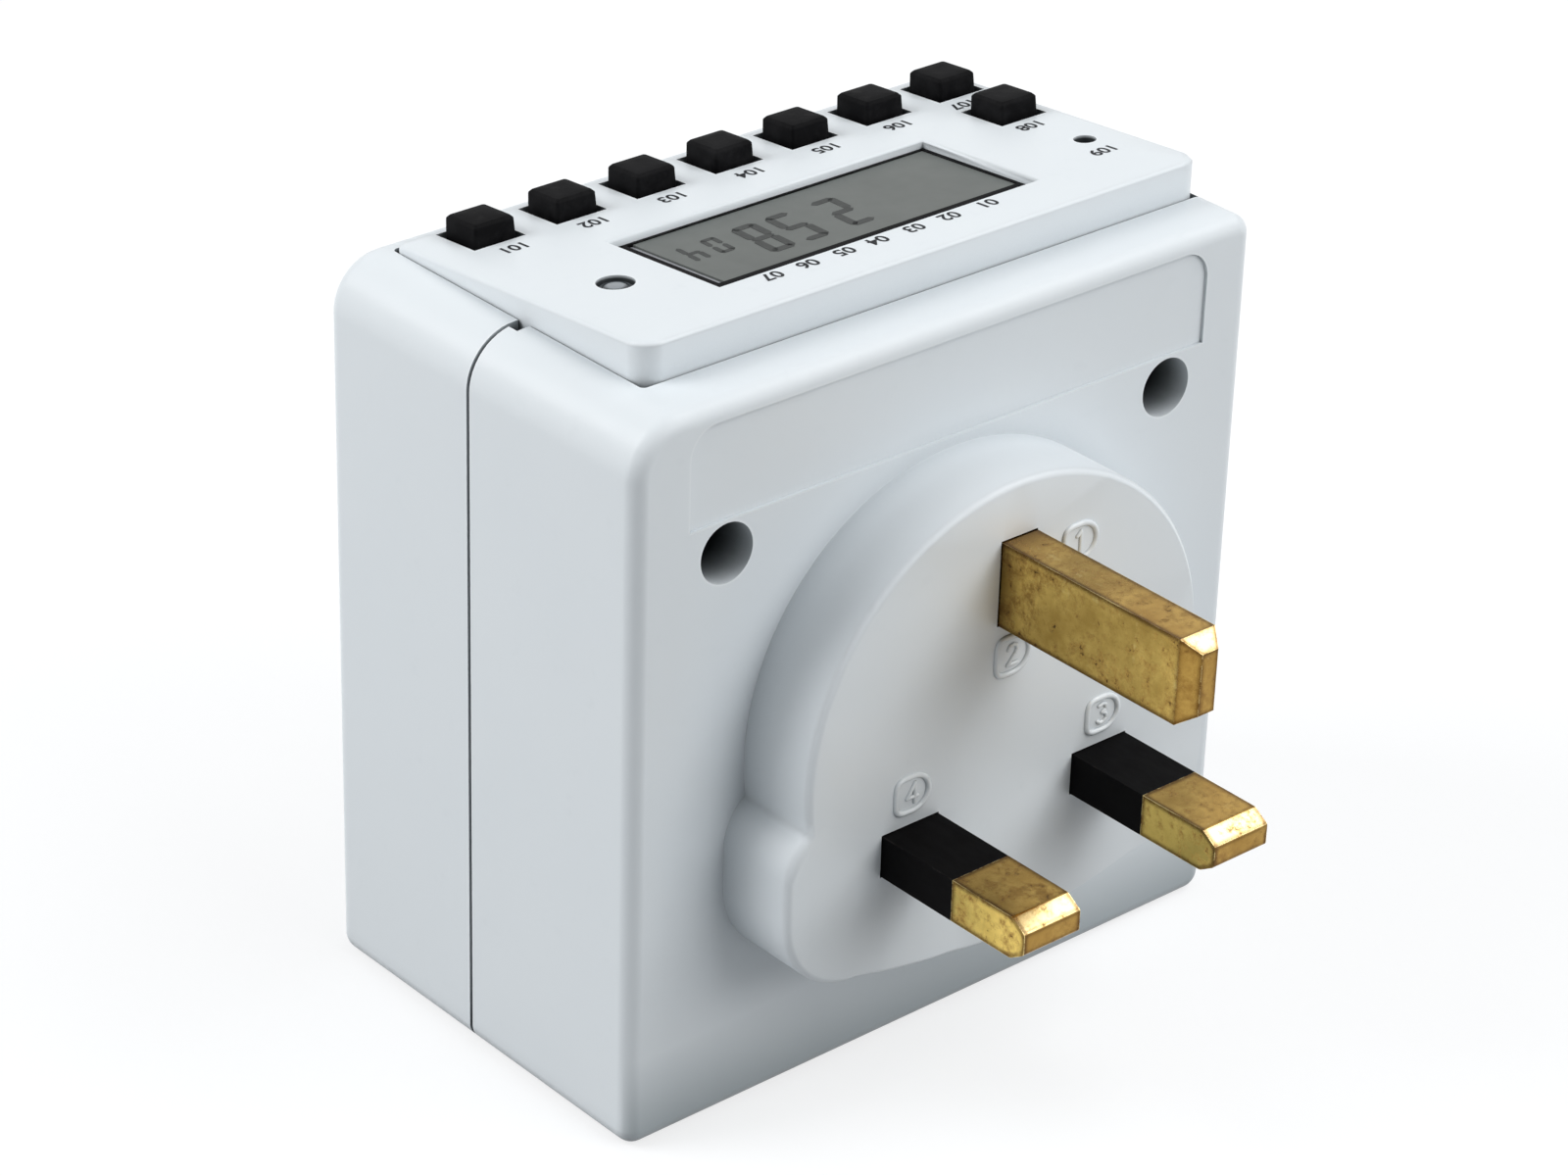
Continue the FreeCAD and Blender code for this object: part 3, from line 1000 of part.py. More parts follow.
def wires():
    """Leads from the line pins down to the power board, and the ribbon up to the control board."""
    z = POWER_TOP_Z
    drop = PIN_Z - (LINE_T / 2 - SLEEVE_WALL) - z
    lead_y = POWER_BOARD[3] - LEAD_INSET_Y
    foot_x, wall_x = POWER_BOARD[0] + RIBBON_BOARD_INSET, -INNER_SIDE + RIBBON_WALL_PLAY
    ribbon = bent_strip([(foot_x, z), (foot_x, z + RIBBON_BEND[0]), (wall_x, z + RIBBON_BEND[1]),
                         (wall_x, PANEL_MID_Z)], RIBBON_T, "xz", -RIBBON_HALF_W, RIBBON_HALF_W)
    return {
        "live_lead": cylinder((PIN_X, lead_y, z), (0, 0, 1), LEAD_R, drop),
        "neutral_lead": cylinder((-PIN_X, lead_y, z), (0, 0, 1), LEAD_R, drop),
        "ribbon_cable": ribbon.cut(tilted_slab(CASE_W, BOARD_UNDER_W)),
    }


def screws():
    """Case, carrier, clamp and board screws."""
    parts = {}
    for tag, s in (("left", 1), ("right", -1)):
        case_at = (s * WELL_X, WELL_FLOOR_Y1, WELL_Z)
        carrier_at = (s * CARRIER_POST_X, CARRIER_Y0 + CARRIER_EAR[2], CARRIER_POST_Z)
        clamp_at = (s * CLAMP_POST_X, COLLAR_Y0 - CLAMP_T, CLAMP_POST_Z)
        parts["case_screw_" + tag] = screw(case_at, (0, -1, 0), CASE_SCREW, recess=True)
        parts["carrier_screw_" + tag] = screw(carrier_at, (0, -1, 0), CARRIER_SCREW)
        parts["clamp_screw_" + tag] = screw(clamp_at, (0, 1, 0), CLAMP_SCREW)
    for tag, (x, y) in zip(("left", "right"), BOARD_SCREWS):
        parts["board_screw_" + tag] = tilted(screw((x, y, BOARD_UNDER_W), (0, 0, 1), BOARD_SCREW))
    return parts


def build():
    """Every piece of the timer by node name."""
    live_tail_y = POWER_BOARD[3] - LEAD_INSET_Y - LEAD_R - PILOT_PLAY
    parts = {
        "front_cover": front_cover(),
        "rear_cover": rear_cover(),
        "control_panel": control_panel(),
        "control_board": control_board(),
        "keypad_mat": keypad_mat(),
        "status_led": status_led(),
        "contact_carrier": contact_carrier(),
        "pin_clamp": pin_clamp(),
        "shutter": shutter(),
        "shutter_spring": shutter_spring(),
        "earth_pin": earth_pin(),
        "live_pin": line_pin(1, live_tail_y, False),
        "neutral_pin": line_pin(-1, CARRIER_Y1, True),
        "live_pin_sleeve": pin_sleeve(1),
        "neutral_pin_sleeve": pin_sleeve(-1),
    }
    groups = (lcd_parts, reset_parts, board_underside_parts, contacts, power_parts, wires, screws)
    for group in groups:
        parts.update(group())
    for name, (x, y) in KEY_CENTRES.items():
        parts[name] = tilted(key().translated(Vector(x, y, 0)))
    return parts


os.makedirs(OUT, exist_ok=True)
for node, shape in build().items():
    shape.exportStep(f"{OUT}/{node}.step")
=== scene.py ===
import bmesh
import bpy
import json
import math
import numpy as np
from mathutils import Matrix, Vector


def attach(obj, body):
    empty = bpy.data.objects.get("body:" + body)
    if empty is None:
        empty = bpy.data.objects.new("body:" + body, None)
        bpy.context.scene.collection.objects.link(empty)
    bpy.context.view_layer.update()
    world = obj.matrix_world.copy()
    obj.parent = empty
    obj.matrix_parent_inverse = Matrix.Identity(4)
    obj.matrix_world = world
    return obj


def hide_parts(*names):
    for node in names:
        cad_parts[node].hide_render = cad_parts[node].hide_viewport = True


# Looks of a plug-in electronic timer, in metres. +Y points out of the pins, +Z up, live on the +X side.

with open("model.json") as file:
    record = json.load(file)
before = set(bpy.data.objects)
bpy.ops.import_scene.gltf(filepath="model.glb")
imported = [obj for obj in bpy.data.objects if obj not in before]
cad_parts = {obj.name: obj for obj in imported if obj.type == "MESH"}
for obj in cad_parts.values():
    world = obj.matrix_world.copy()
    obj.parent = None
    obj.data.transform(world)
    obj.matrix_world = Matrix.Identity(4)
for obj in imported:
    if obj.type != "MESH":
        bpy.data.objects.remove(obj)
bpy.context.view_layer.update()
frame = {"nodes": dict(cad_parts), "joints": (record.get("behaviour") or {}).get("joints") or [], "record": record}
nodes = frame["nodes"]
MM = 0.001
MICRON = 0.000001

# Ways that faces look: out of the plug face, up, and to the live side
OUT = (0.0, 1.0, 0.0)
UP = (0.0, 0.0, 1.0)
SIDE = (1.0, 0.0, 0.0)

# Camera, solved from the photograph
CAMERA_AT = Vector((0.249722, 0.282313, 0.240009))
CAMERA_AZIMUTH = 138.54
CAMERA_ELEVATION = 28.57
CAMERA_ROLL = 1.724
CAMERA_LENS = 109.6
CAMERA_SENSOR = 36.0
CAMERA_CLIP = (0.01, 20.0)

# Light: world level, glow of the floor as seen, its own colour and half its width
SKY_LEVEL = 0.21
FLOOR_GLOW = 0.72
FLOOR_COLOUR = (0.30, 0.31, 0.32)
FLOOR_REACH = 3.0

# Lamps: name, place, width in metres and power in watts, all turned to one point
LAMPS_AIM = (0.0, 0.0, 0.04)
LAMPS = (
    ("key_light", (-0.30, 0.16, 0.52), 0.34, 1.2),
    ("left_light", (0.60, -0.42, 0.62), 0.50, 5.2),
    ("low_left_light", (0.78, -0.30, 0.16), 0.40, 1.5),
    ("front_light", (-0.35, 0.80, 0.60), 0.80, 5.7),
)

# Panel plane: x runs along the key row, y up the slope, w along the outward normal
press = next(joint for joint in frame["joints"] if joint["child"] == "key_clock")
PANEL_OUT = -np.array(press["axis"], float)
PANEL_X = np.array(SIDE)
PANEL_Y = np.cross(PANEL_OUT, PANEL_X)
PANEL_ORIGIN = np.array([0.0, 0.0, 71.75]) * MM

# Plug face, which looks along +Y
FACE_Y = 29.4 * MM

# Key caps, in millimetres
KEY_ROW_Y = -15.05
KEY_FIRST_X = 22.9
KEY_PITCH = 8.9
KEYS = ("key_recall", "key_minute", "key_hour", "key_week", "key_manual", "key_timer", "key_clock")
KEY_CENTRES = {name: (KEY_FIRST_X - i * KEY_PITCH, KEY_ROW_Y) for i, name in enumerate(KEYS)}
KEY_CENTRES["key_random"] = (-30.1, -6.3)
KEY_STEPS = 64

# Key from its pad up: half width, corner radius and depth below its top
KEY_PROFILE = (
    (1.2, 0.3, -7.5), (1.2, 0.3, -7.0), (1.6, 0.3, -6.9), (1.6, 0.3, -4.8), (2.3, 0.3, -4.7),
    (2.3, 0.3, -3.95), (2.21, 0.3, -3.85), (2.2, 0.3, -1.9), (2.15, 0.3, -0.42), (2.14, 0.3, -0.34),
    (2.11, 0.3, -0.28), (1.93, 0.27, -0.1), (1.89, 0.26, -0.07), (1.82, 0.25, -0.05), (1.0, 0.2, -0.02),
    (0.25, 0.15, 0.0),
)

# Indicator lens: centre on the panel, then radius and height of its turned profile from the board up
LED_XY = (21.8, 2.0)
LED_STEPS = 48
LED_PROFILE = (
    (1.5, -6.3), (1.5, -1.6), (1.6, -1.5), (1.6, -0.5), (1.54, -0.44), (1.3, -0.42),
    (1.2, -0.45), (1.1, -0.4), (0.92, -0.3), (0.65, -0.23), (0.3, -0.2), (0.05, -0.19),
)

# Distances from the lens axis between which it turns from pale to dark with painted shade, and how ragged that is
LENS_RIM_SHADE = (0.8 * MM, 1.1 * MM)
LENS_RAGGED = 0.2 * MM

# Holes with painted shade inside: mouth, axis outward, radius, depths between which the painted shade darkens, and
# floor
RESET_XY = (-30.2, 4.2)
RESET_MOUTH = PANEL_ORIGIN + (RESET_XY[0] * PANEL_X + RESET_XY[1] * PANEL_Y) * MM
LED_MOUTH = PANEL_ORIGIN + (LED_XY[0] * PANEL_X + LED_XY[1] * PANEL_Y) * MM
WELL_X, WELL_Y, WELL_Z = 25.2, 21.0, 55.5
WELL_MOUTHS = [np.array([x, WELL_Y, WELL_Z]) * MM for x in (WELL_X, -WELL_X)]
SHADED_HOLES = [
    (RESET_MOUTH, PANEL_OUT, 1.3 * MM, 0.04 * MM, 0.3 * MM, 3.0 * MM),
    (LED_MOUTH, PANEL_OUT, 1.95 * MM, 0.04 * MM, 0.3 * MM, 3.0 * MM),
] + [(mouth, OUT, 3.1 * MM, 0.1 * MM, 4.5 * MM, 18.0 * MM) for mouth in WELL_MOUTHS]

# Shares of a hole's radius and of its floor depth where its painted shade starts to end
RADIUS_FADE = 0.98
FLOOR_FADE = 1.01

# Shell: width of the painted highlight on edges, reach of the painted shade in gaps, and height over which the
# foot has painted shade
SHELL_EDGE = 0.6 * MM
SHELL_NOOK = 6.0 * MM
FOOT_SHADE = 9.0 * MM

# Widths of worn edges on the keys and on the pin sleeves
RUBBER_EDGE = 0.4 * MM
NYLON_EDGE = 0.3 * MM

# Brass: widths of the brown outlines and of the painted glint on them
BRASS_RIM = 0.9 * MM
BRASS_GLINT = 0.16 * MM

# Places along Y between which the brown root of a pin ends, and how ragged that is
ROOT_DARK = (FACE_Y + 1.0 * MM, FACE_Y + 3.5 * MM)
ROOT_RAGGED = 2.5 * MM

# Heights, over the line pins and under the earth pin, between which the painted yellow sheen on the sides fades
SIDE_SHEEN_FADE = (31.0 * MM, 36.0 * MM)

# Plain numbers printed on the panel: centre x and foot y of those by the keys, then a row by the window
KEY_NUMBERS_AT = (
    (22.8, -11.2), (14.1, -11.2), (5.4, -11.2), (-3.5, -11.2), (-12.4, -11.2), (-21.0, -11.2),
    (-29.0, -11.2), (-29.3, -2.6), (-29.3, 6.8),
)
KEY_NUMBER_FIRST = 101
KEY_NUMBER_HEIGHT = 1.45
ROW_NUMBERS_X = (-12.8, -8.4, -4.3, -0.15, 3.6, 7.65, 11.6)
ROW_NUMBERS_Y = 9.4
ROW_NUMBER_HEIGHT = 1.5
PRINT_BOLDNESS = 0.04
PRINT_RISE = 0.02
FONT_SIZE_FOR_HEIGHT = 1.36

# Seven-segment figures: left edge x and figure, then width, height, foot y and bar thickness; the gap between
# bars is a share of that thickness
BIG_FIGURES = ((-6.07, "2"), (-0.82, "5"), (2.98, "8"))
SMALL_FIGURES = ((7.63, "0"), (10.33, "4"))
BIG_SIZE = (2.75, 7.0, -2.63, 0.84)
SMALL_SIZE = (1.65, 3.75, -2.38, 0.52)
SLANT = math.tan(math.radians(6.0))
BAR_GAP = 0.12
INK_RISE = 0.01
INK_THICKNESS = 0.01
SEGMENTS = {"0": "abcdef", "2": "abdeg", "4": "bcfg", "5": "acdfg", "8": "abcdefg"}

# Raised marks on the plug face: x, z, half width, half height and plain number
FACE_MARKS = (
    (-7.2, 49.6, 1.9, 1.7, "1"), (0.1, 41.1, 1.9, 1.8, "2"),
    (-11.3, 31.25, 1.85, 1.65, "3"), (11.1, 31.35, 1.85, 1.7, "4"),
)
MARK_LINE = 0.29
MARK_SQUARENESS = 0.45
MARK_STEPS = 72
MARK_STROKE = 0.2
MARK_HALF_HEIGHT = 0.95
ROUND_STEPS = 12

# Points the strokes of those plain numbers run through, across and up, in half heights
MARK_PATHS = {
    "1": ((-0.4, 0.6), (0.05, 1.0), (0.05, -1.0)),
    "2": ((-0.55, 0.55), (-0.38, 0.88), (0.0, 1.0), (0.42, 0.84), (0.52, 0.45), (0.3, 0.0),
          (-0.6, -1.0), (0.62, -1.0)),
    "3": ((-0.5, 0.85), (-0.05, 1.0), (0.38, 0.82), (0.4, 0.35), (-0.05, 0.08), (0.42, -0.15),
          (0.5, -0.6), (0.15, -0.97), (-0.3, -0.97), (-0.58, -0.75)),
    "4": ((0.3, -1.0), (0.3, 1.0), (-0.62, -0.4), (0.65, -0.4)),
}

# Shown copies of CAD nodes: distance for merging, sharp angles in degrees, and weight of large faces
MERGE_REACH = 1 * MICRON
SHELL_SHARP = 62.0
PIN_SHARP = 20.0
LARGE_FACE_WEIGHT = 80


class Signal:
    """A value worked out by nodes: one socket of a node tree, with arithmetic."""

    def __init__(self, owner, socket):
        self.owner = owner
        self.socket = socket

    def _math(self, operation, first, second):
        return self.owner.add("ShaderNodeMath", {"operation": operation}, {0: first, 1: second})

    def __add__(self, other):
        return self._math("ADD", self, other)

    def __radd__(self, other):
        return self._math("ADD", other, self)

    def __sub__(self, other):
        return self._math("SUBTRACT", self, other)

    def __rsub__(self, other):
        return self._math("SUBTRACT", other, self)

    def __mul__(self, other):
        return self._math("MULTIPLY", self, other)

    def __rmul__(self, other):
        return self._math("MULTIPLY", other, self)


class Nodes:
    """A node tree with one method that adds nodes and one that plugs values into sockets."""

    def __init__(self, tree):
        self.tree = tree

    def plug(self, socket, value):
        """Links a signal to a socket, or sets the socket's own value."""
        if isinstance(value, Signal):
            self.tree.links.new(value.socket, socket)
        else:
            socket.default_value = value

    def add(self, kind, settings=None, inputs=None, output=0):
        """Adds one node: its settings first, then its inputs."""
        node = self.tree.nodes.new(kind)
        for key, value in (settings or {}).items():
            setattr(node, key, value)
        for key, value in (inputs or {}).items():
            self.plug(node.inputs[key], value)
        return Signal(self, node.outputs[output])

    def seen(self, *rays):
        """1 for the kinds of ray that are named, 0 for the rest."""
        found = [self.add("ShaderNodeLightPath", output=ray) for ray in rays]
        total = found[0]
        for ray in found[1:]:
            total = self.add("ShaderNodeMath", {"operation": "MAXIMUM"}, {0: total, 1: ray})
        return total


class Finish(Nodes):
    """A procedural surface finish built on one Principled shader."""

    def __init__(self, name, **constants):
        self.material = bpy.data.materials.new(name)
        self.material.use_nodes = True
        super().__init__(self.material.node_tree)
        self.shader = self.tree.nodes["Principled BSDF"]
        for socket, value in constants.items():
            self.shader.inputs[socket.replace("_", " ")].default_value = value
        self.place = self.add("ShaderNodeTexCoord", output="Object")

    def vector(self, operation, first, second=None, output="Vector"):
        """Vector arithmetic on signals or fixed vectors."""
        inputs = {0: first} if second is None else {0: first, 1: second}
        return self.add("ShaderNodeVectorMath", {"operation": operation}, inputs, output)

    def along(self, axis):
        """Coordinate along axis, in metres: the dot of the place with it."""
        return self.vector("DOT_PRODUCT", self.place, axis, "Value")

    def noise(self, scale, detail=3.0, roughness=0.5, stretch=(1.0, 1.0, 1.0), shift=0.0):
        """Cloudy value from 0 to 1, scale in lumps per metre, stretched along an axis by a small factor."""
        turned = self.add("ShaderNodeMapping", {}, {
            "Vector": self.place, "Scale": stretch, "Location": (shift, shift, shift)})
        return self.add("ShaderNodeTexNoise", {}, {
            "Vector": turned, "Scale": scale, "Detail": detail, "Roughness": roughness})

    def level(self, value, low, high, out_low=0.0, out_high=1.0):
        """Stretches value from low..high to out_low..out_high and holds it there."""
        return self.add("ShaderNodeMapRange", {"clamp": True}, {
            0: value, 1: low, 2: high, 3: out_low, 4: out_high})

    def blend(self, first, second, factor):
        """Mixes two colours by factor."""
        return self.add("ShaderNodeMix", {"data_type": "RGBA"}, {
            0: factor, 6: first, 7: second}, output=2)

    def facing(self, axis):
        """How far the surface faces along axis: the dot of its normal with it."""
        normal = self.add("ShaderNodeNewGeometry", output="Normal")
        return self.vector("DOT_PRODUCT", normal, axis, "Value")

    def edges(self, width):
        """Rises from 0 on flat faces to about 0.3 along edges: 1 less the dot of rounded and true normals."""
        rounded = self.add("ShaderNodeBevel", {"samples": 6}, {"Radius": width})
        return 1.0 - self.facing(rounded)

    def open_sky(self, reach):
        """Share of directions free within reach: 1 on open faces, near 0 in gaps and deep holes."""
        return self.add("ShaderNodeAmbientOcclusion", {"samples": 8}, {"Distance": reach}, output="AO")

    def off_axis(self, foot, axis):
        """Distance from the line along axis through foot: length of the offset crossed with the axis."""
        offset = self.vector("SUBTRACT", self.place, tuple(foot))
        return self.vector("LENGTH", self.vector("CROSS_PRODUCT", offset, tuple(axis)), output="Value")

    def depth_below(self, foot, axis):
        """Depth below the plane through foot that faces along axis: the dot of the offset with the axis."""
        offset = self.vector("SUBTRACT", tuple(foot), self.place)
        return self.vector("DOT_PRODUCT", offset, tuple(axis), "Value")

    def bump(self, height, depth, strength=0.5):
        """Fine relief in the normal, depth in metres."""
        self.feed("Normal", self.add("ShaderNodeBump", {}, {
            "Height": height, "Distance": depth, "Strength": strength}))

    def feed(self, socket, value):
        """Plugs a value into the shader."""
        self.plug(self.shader.inputs[socket], value)


def rgb(red, green, blue):
    """Solid colour in the four numbers that a socket takes."""
    return (red, green, blue, 1.0)


def shell_plastic(name, shine=0.0):
    """Cool white moulded plastic: mottled, with a painted highlight on its edges and painted shade in gaps, in
    holes and at the foot.
    """
    skin = Finish(name, Specular_IOR_Level=0.4)
    clouds = skin.noise(60.0, 4.0)
    handling = skin.noise(420.0, 5.0, 0.6, shift=3.0)
    colour = skin.blend(rgb(0.725, 0.775, 0.81), rgb(0.755, 0.80, 0.83), clouds)
    colour = skin.blend(colour, rgb(0.64, 0.69, 0.72), skin.level(handling, 0.62, 0.85, 0.0, 0.25))
    # Painted highlight: the edges are made paler, standing in for light caught on them
    pale_edges = skin.level(skin.edges(SHELL_EDGE), 0.03, 0.2, 0.0, 0.6)
    colour = skin.blend(colour, rgb(0.88, 0.92, 0.94), pale_edges)
    # Painted shade: darker towards the bottom on faces that look out along +Y
    foot = skin.level(skin.along(UP), 0.0, FOOT_SHADE, 0.8, 0.0) * skin.level(skin.facing(OUT), 0.3, 0.95)
    colour = skin.blend(colour, rgb(0.24, 0.29, 0.31), foot)
    # Painted shade in gaps and recesses, darker where less of the open sky is free nearby
    nook = skin.open_sky(SHELL_NOOK)
    colour = skin.blend(rgb(0.42, 0.46, 0.49), colour, skin.level(nook, 0.2, 0.72))
    colour = skin.blend(rgb(0.12, 0.135, 0.145), colour, skin.level(nook, 0.08, 0.38))
    # Painted shade deep inside the reset hole, the indicator hole and the screw wells
    for mouth, axis, radius, start, full, floor in SHADED_HOLES:
        depth = skin.depth_below(mouth, axis)
        inside = skin.level(skin.off_axis(mouth, axis), radius * RADIUS_FADE, radius, 1.0, 0.0)
        above_floor = skin.level(depth, floor, floor * FLOOR_FADE, 1.0, 0.0)
        hole_shade = skin.level(depth, start, full) * above_floor
        colour = skin.blend(colour, rgb(0.035, 0.04, 0.043), hole_shade * inside)
    skin.feed("Base Color", colour)
    skin.feed("Roughness", skin.level(handling, 0.25, 0.75, 0.32 - shine, 0.44 - shine))
    skin.bump(skin.noise(2600.0, 2.0) + skin.noise(190.0, 2.0) * 3.0, 10 * MICRON, 0.35)
    return skin.material


def old_brass(name):
    """Brass gone brown in clouds, in pits, along its edges and at its root, with painted highlights on its
    chamfers and sides, painted shade on its tops and ends, and a painted glint on its edges.
    """
    metal = Finish(name, Metallic=1.0)
    cloud = metal.noise(230.0, 5.0, 0.62)
    grime = metal.noise(900.0, 6.0, 0.74, shift=4.1)
    drawn = metal.noise(1500.0, 3.0, 0.6, stretch=(1.0, 0.06, 1.0), shift=1.7)
    crossed = metal.noise(1200.0, 3.0, 0.6, stretch=(0.5, 1.0, 0.07), shift=6.3)
    colour = metal.blend(rgb(0.46, 0.275, 0.062), rgb(0.80, 0.54, 0.15), metal.level(cloud, 0.34, 0.62))
    tarnish = metal.level(grime * 0.6 + cloud * 0.4, 0.47, 0.60)
    colour = metal.blend(colour, rgb(0.21, 0.10, 0.02), tarnish * 0.7)
    scratch = metal.level(drawn * 0.5 + crossed * 0.5, 0.6, 0.68)
    colour = metal.blend(colour, rgb(0.88, 0.68, 0.26), scratch * 0.55)
    pits = metal.level(grime, 0.612, 0.665)
    colour = metal.blend(colour, rgb(0.03, 0.014, 0.004), pits * 0.85)
    root = metal.level(metal.along(OUT) + grime * ROOT_RAGGED, ROOT_DARK[0], ROOT_DARK[1], 1.0, 0.0)
    colour = metal.blend(colour, rgb(0.09, 0.038, 0.008), root * 0.85)

    # Painted light by the way faces look: a yellow painted sheen on the sides of the line pins, painted shade
    # making tops and ends browner, and a pale painted highlight on chamfers
    outward = metal.level(metal.facing(OUT), 0.3, 0.45)
    upward = metal.facing(UP)
    low_pins = metal.level(metal.along(UP), SIDE_SHEEN_FADE[0], SIDE_SHEEN_FADE[1], 1.0, 0.25)
    # Painted sheen on the sides that look towards the live side
    sides = metal.level(metal.facing(SIDE), 0.7, 0.95) * low_pins
    colour = metal.blend(colour, rgb(0.86, 0.68, 0.18), sides * metal.level(tarnish, 0.2, 0.9, 0.42, 0.0))
    colour = metal.blend(colour, rgb(0.22, 0.115, 0.025), metal.level(upward, 0.8, 0.95, 0.0, 0.4))
    end_shade = outward * metal.level(upward, 0.3, 0.5, 0.65, 0.0)
    colour = metal.blend(colour, rgb(0.26, 0.14, 0.032), end_shade)
    chamfer_highlight = outward * metal.level(upward, 0.3, 0.5)
    colour = metal.blend(colour, rgb(0.62, 0.50, 0.26), chamfer_highlight * metal.level(grime, 0.48, 0.62, 1.0, 0.3))

    # Brown outlines with a thin painted glint, a highlight, on the edge itself
    ragged = metal.level(crossed * 0.5 + grime * 0.5, 0.24, 0.44)
    rim = metal.level(metal.edges(BRASS_RIM), 0.005, 0.04) * ragged
    colour = metal.blend(colour, rgb(0.085, 0.035, 0.007), rim * 0.95)
    edge_glint = metal.level(metal.edges(BRASS_GLINT), 0.05, 0.2) * metal.level(drawn, 0.44, 0.54)
    metal.feed("Base Color", metal.blend(colour, rgb(0.92, 0.74, 0.34), edge_glint))
    metal.feed("Roughness", metal.level(tarnish + pits - chamfer_highlight, 0.0, 1.2, 0.17, 0.42))
    metal.bump(drawn * 0.4 + crossed * 0.3 - pits * 0.6, 30 * MICRON)
    return metal.material


def dusty_rubber(name):
    """Black silicone: faint dust on its clouds and greyer worn edges."""
    rubber = Finish(name, Specular_IOR_Level=0.04)
    dust = rubber.noise(700.0, 5.0, 0.65)
    smear = rubber.noise(260.0, 3.0, shift=2.0)
    amount = rubber.level(dust * 0.6 + smear * 0.4, 0.45, 0.72)
    colour = rubber.blend(rgb(0.003, 0.003, 0.0035), rgb(0.013, 0.013, 0.014), amount)
    pale_edges = rubber.level(rubber.edges(RUBBER_EDGE), 0.03, 0.2) * rubber.level(dust, 0.4, 0.65)
    rubber.feed("Base Color", rubber.blend(colour, rgb(0.045, 0.046, 0.048), pale_edges * 0.6))
    rubber.feed("Roughness", rubber.level(dust, 0.3, 0.7, 0.5, 0.7))
    rubber.bump(rubber.noise(3200.0, 3.0), 20 * MICRON)
    return rubber.material


def scuffed_nylon(name):
    """Black sleeve plastic with a few pale scuffs along its edges."""
    sleeve = Finish(name, Specular_IOR_Level=0.04)
    scuff = sleeve.noise(900.0, 5.0, 0.7, stretch=(1.0, 0.35, 1.0))
    rim = sleeve.level(sleeve.edges(NYLON_EDGE), 0.03, 0.2)
    marks = rim * sleeve.level(scuff, 0.52, 0.62) + sleeve.level(scuff, 0.70, 0.78) * 0.5
    sleeve.feed("Base Color", sleeve.blend(rgb(0.0022, 0.002, 0.0022), rgb(0.035, 0.032, 0.03), marks))
    sleeve.feed("Roughness", sleeve.level(scuff, 0.3, 0.7, 0.45, 0.65))
    sleeve.bump(scuff, 10 * MICRON)
    return sleeve.material


def lens_plastic(name):
    """Milky indicator lens: pale in the middle, with painted shade making it dark where it meets its hole."""
    lens = Finish(name, Specular_IOR_Level=0.2)
    cloud = lens.noise(500.0, 4.0, 0.6)
    away = lens.off_axis(LED_MOUTH, PANEL_OUT) + cloud * LENS_RAGGED
    # Painted shade: a dark ring where the lens meets the wall of its hole
    clear_of_rim_shade = lens.level(away, LENS_RIM_SHADE[0], LENS_RIM_SHADE[1], 1.0, 0.0)
    lens.feed("Base Color", lens.blend(rgb(0.03, 0.036, 0.04), rgb(0.26, 0.285, 0.305), clear_of_rim_shade))
    lens.feed("Roughness", lens.level(cloud, 0.3, 0.7, 0.14, 0.24))
    lens.bump(cloud, 2 * MICRON)
    return lens.material


def drawn_steel(name):
    """Steel with fine lines along y and darker stains."""
    metal = Finish(name, Metallic=1.0)
    lines = metal.noise(2400.0, 3.0, 0.6, stretch=(1.0, 0.05, 1.0))
    stain = metal.level(metal.noise(240.0, 4.0), 0.45, 0.75)
    metal.feed("Base Color", metal.blend(rgb(0.62, 0.62, 0.61), rgb(0.36, 0.35, 0.33), stain * 0.6))
    metal.feed("Roughness", metal.level(lines, 0.3, 0.7, 0.22, 0.42))
    metal.bump(lines, 10 * MICRON)
    return metal.material


def two_tone(name, low, high, scale, rough, depth, specular):
    """Finish of two near colours: clouds mix them, and finer clouds change roughness and relief."""
    coat = Finish(name, Specular_IOR_Level=specular)
    cloud = coat.noise(scale, 4.0, 0.6)
    fine = coat.noise(scale * 6.0, 3.0, shift=1.3)
    coat.feed("Base Color", coat.blend(rgb(*low), rgb(*high), coat.level(cloud, 0.3, 0.7)))
    coat.feed("Roughness", coat.level(fine, 0.25, 0.75, rough[0], rough[1]))
    coat.bump(fine, depth * MICRON)
    return coat.material


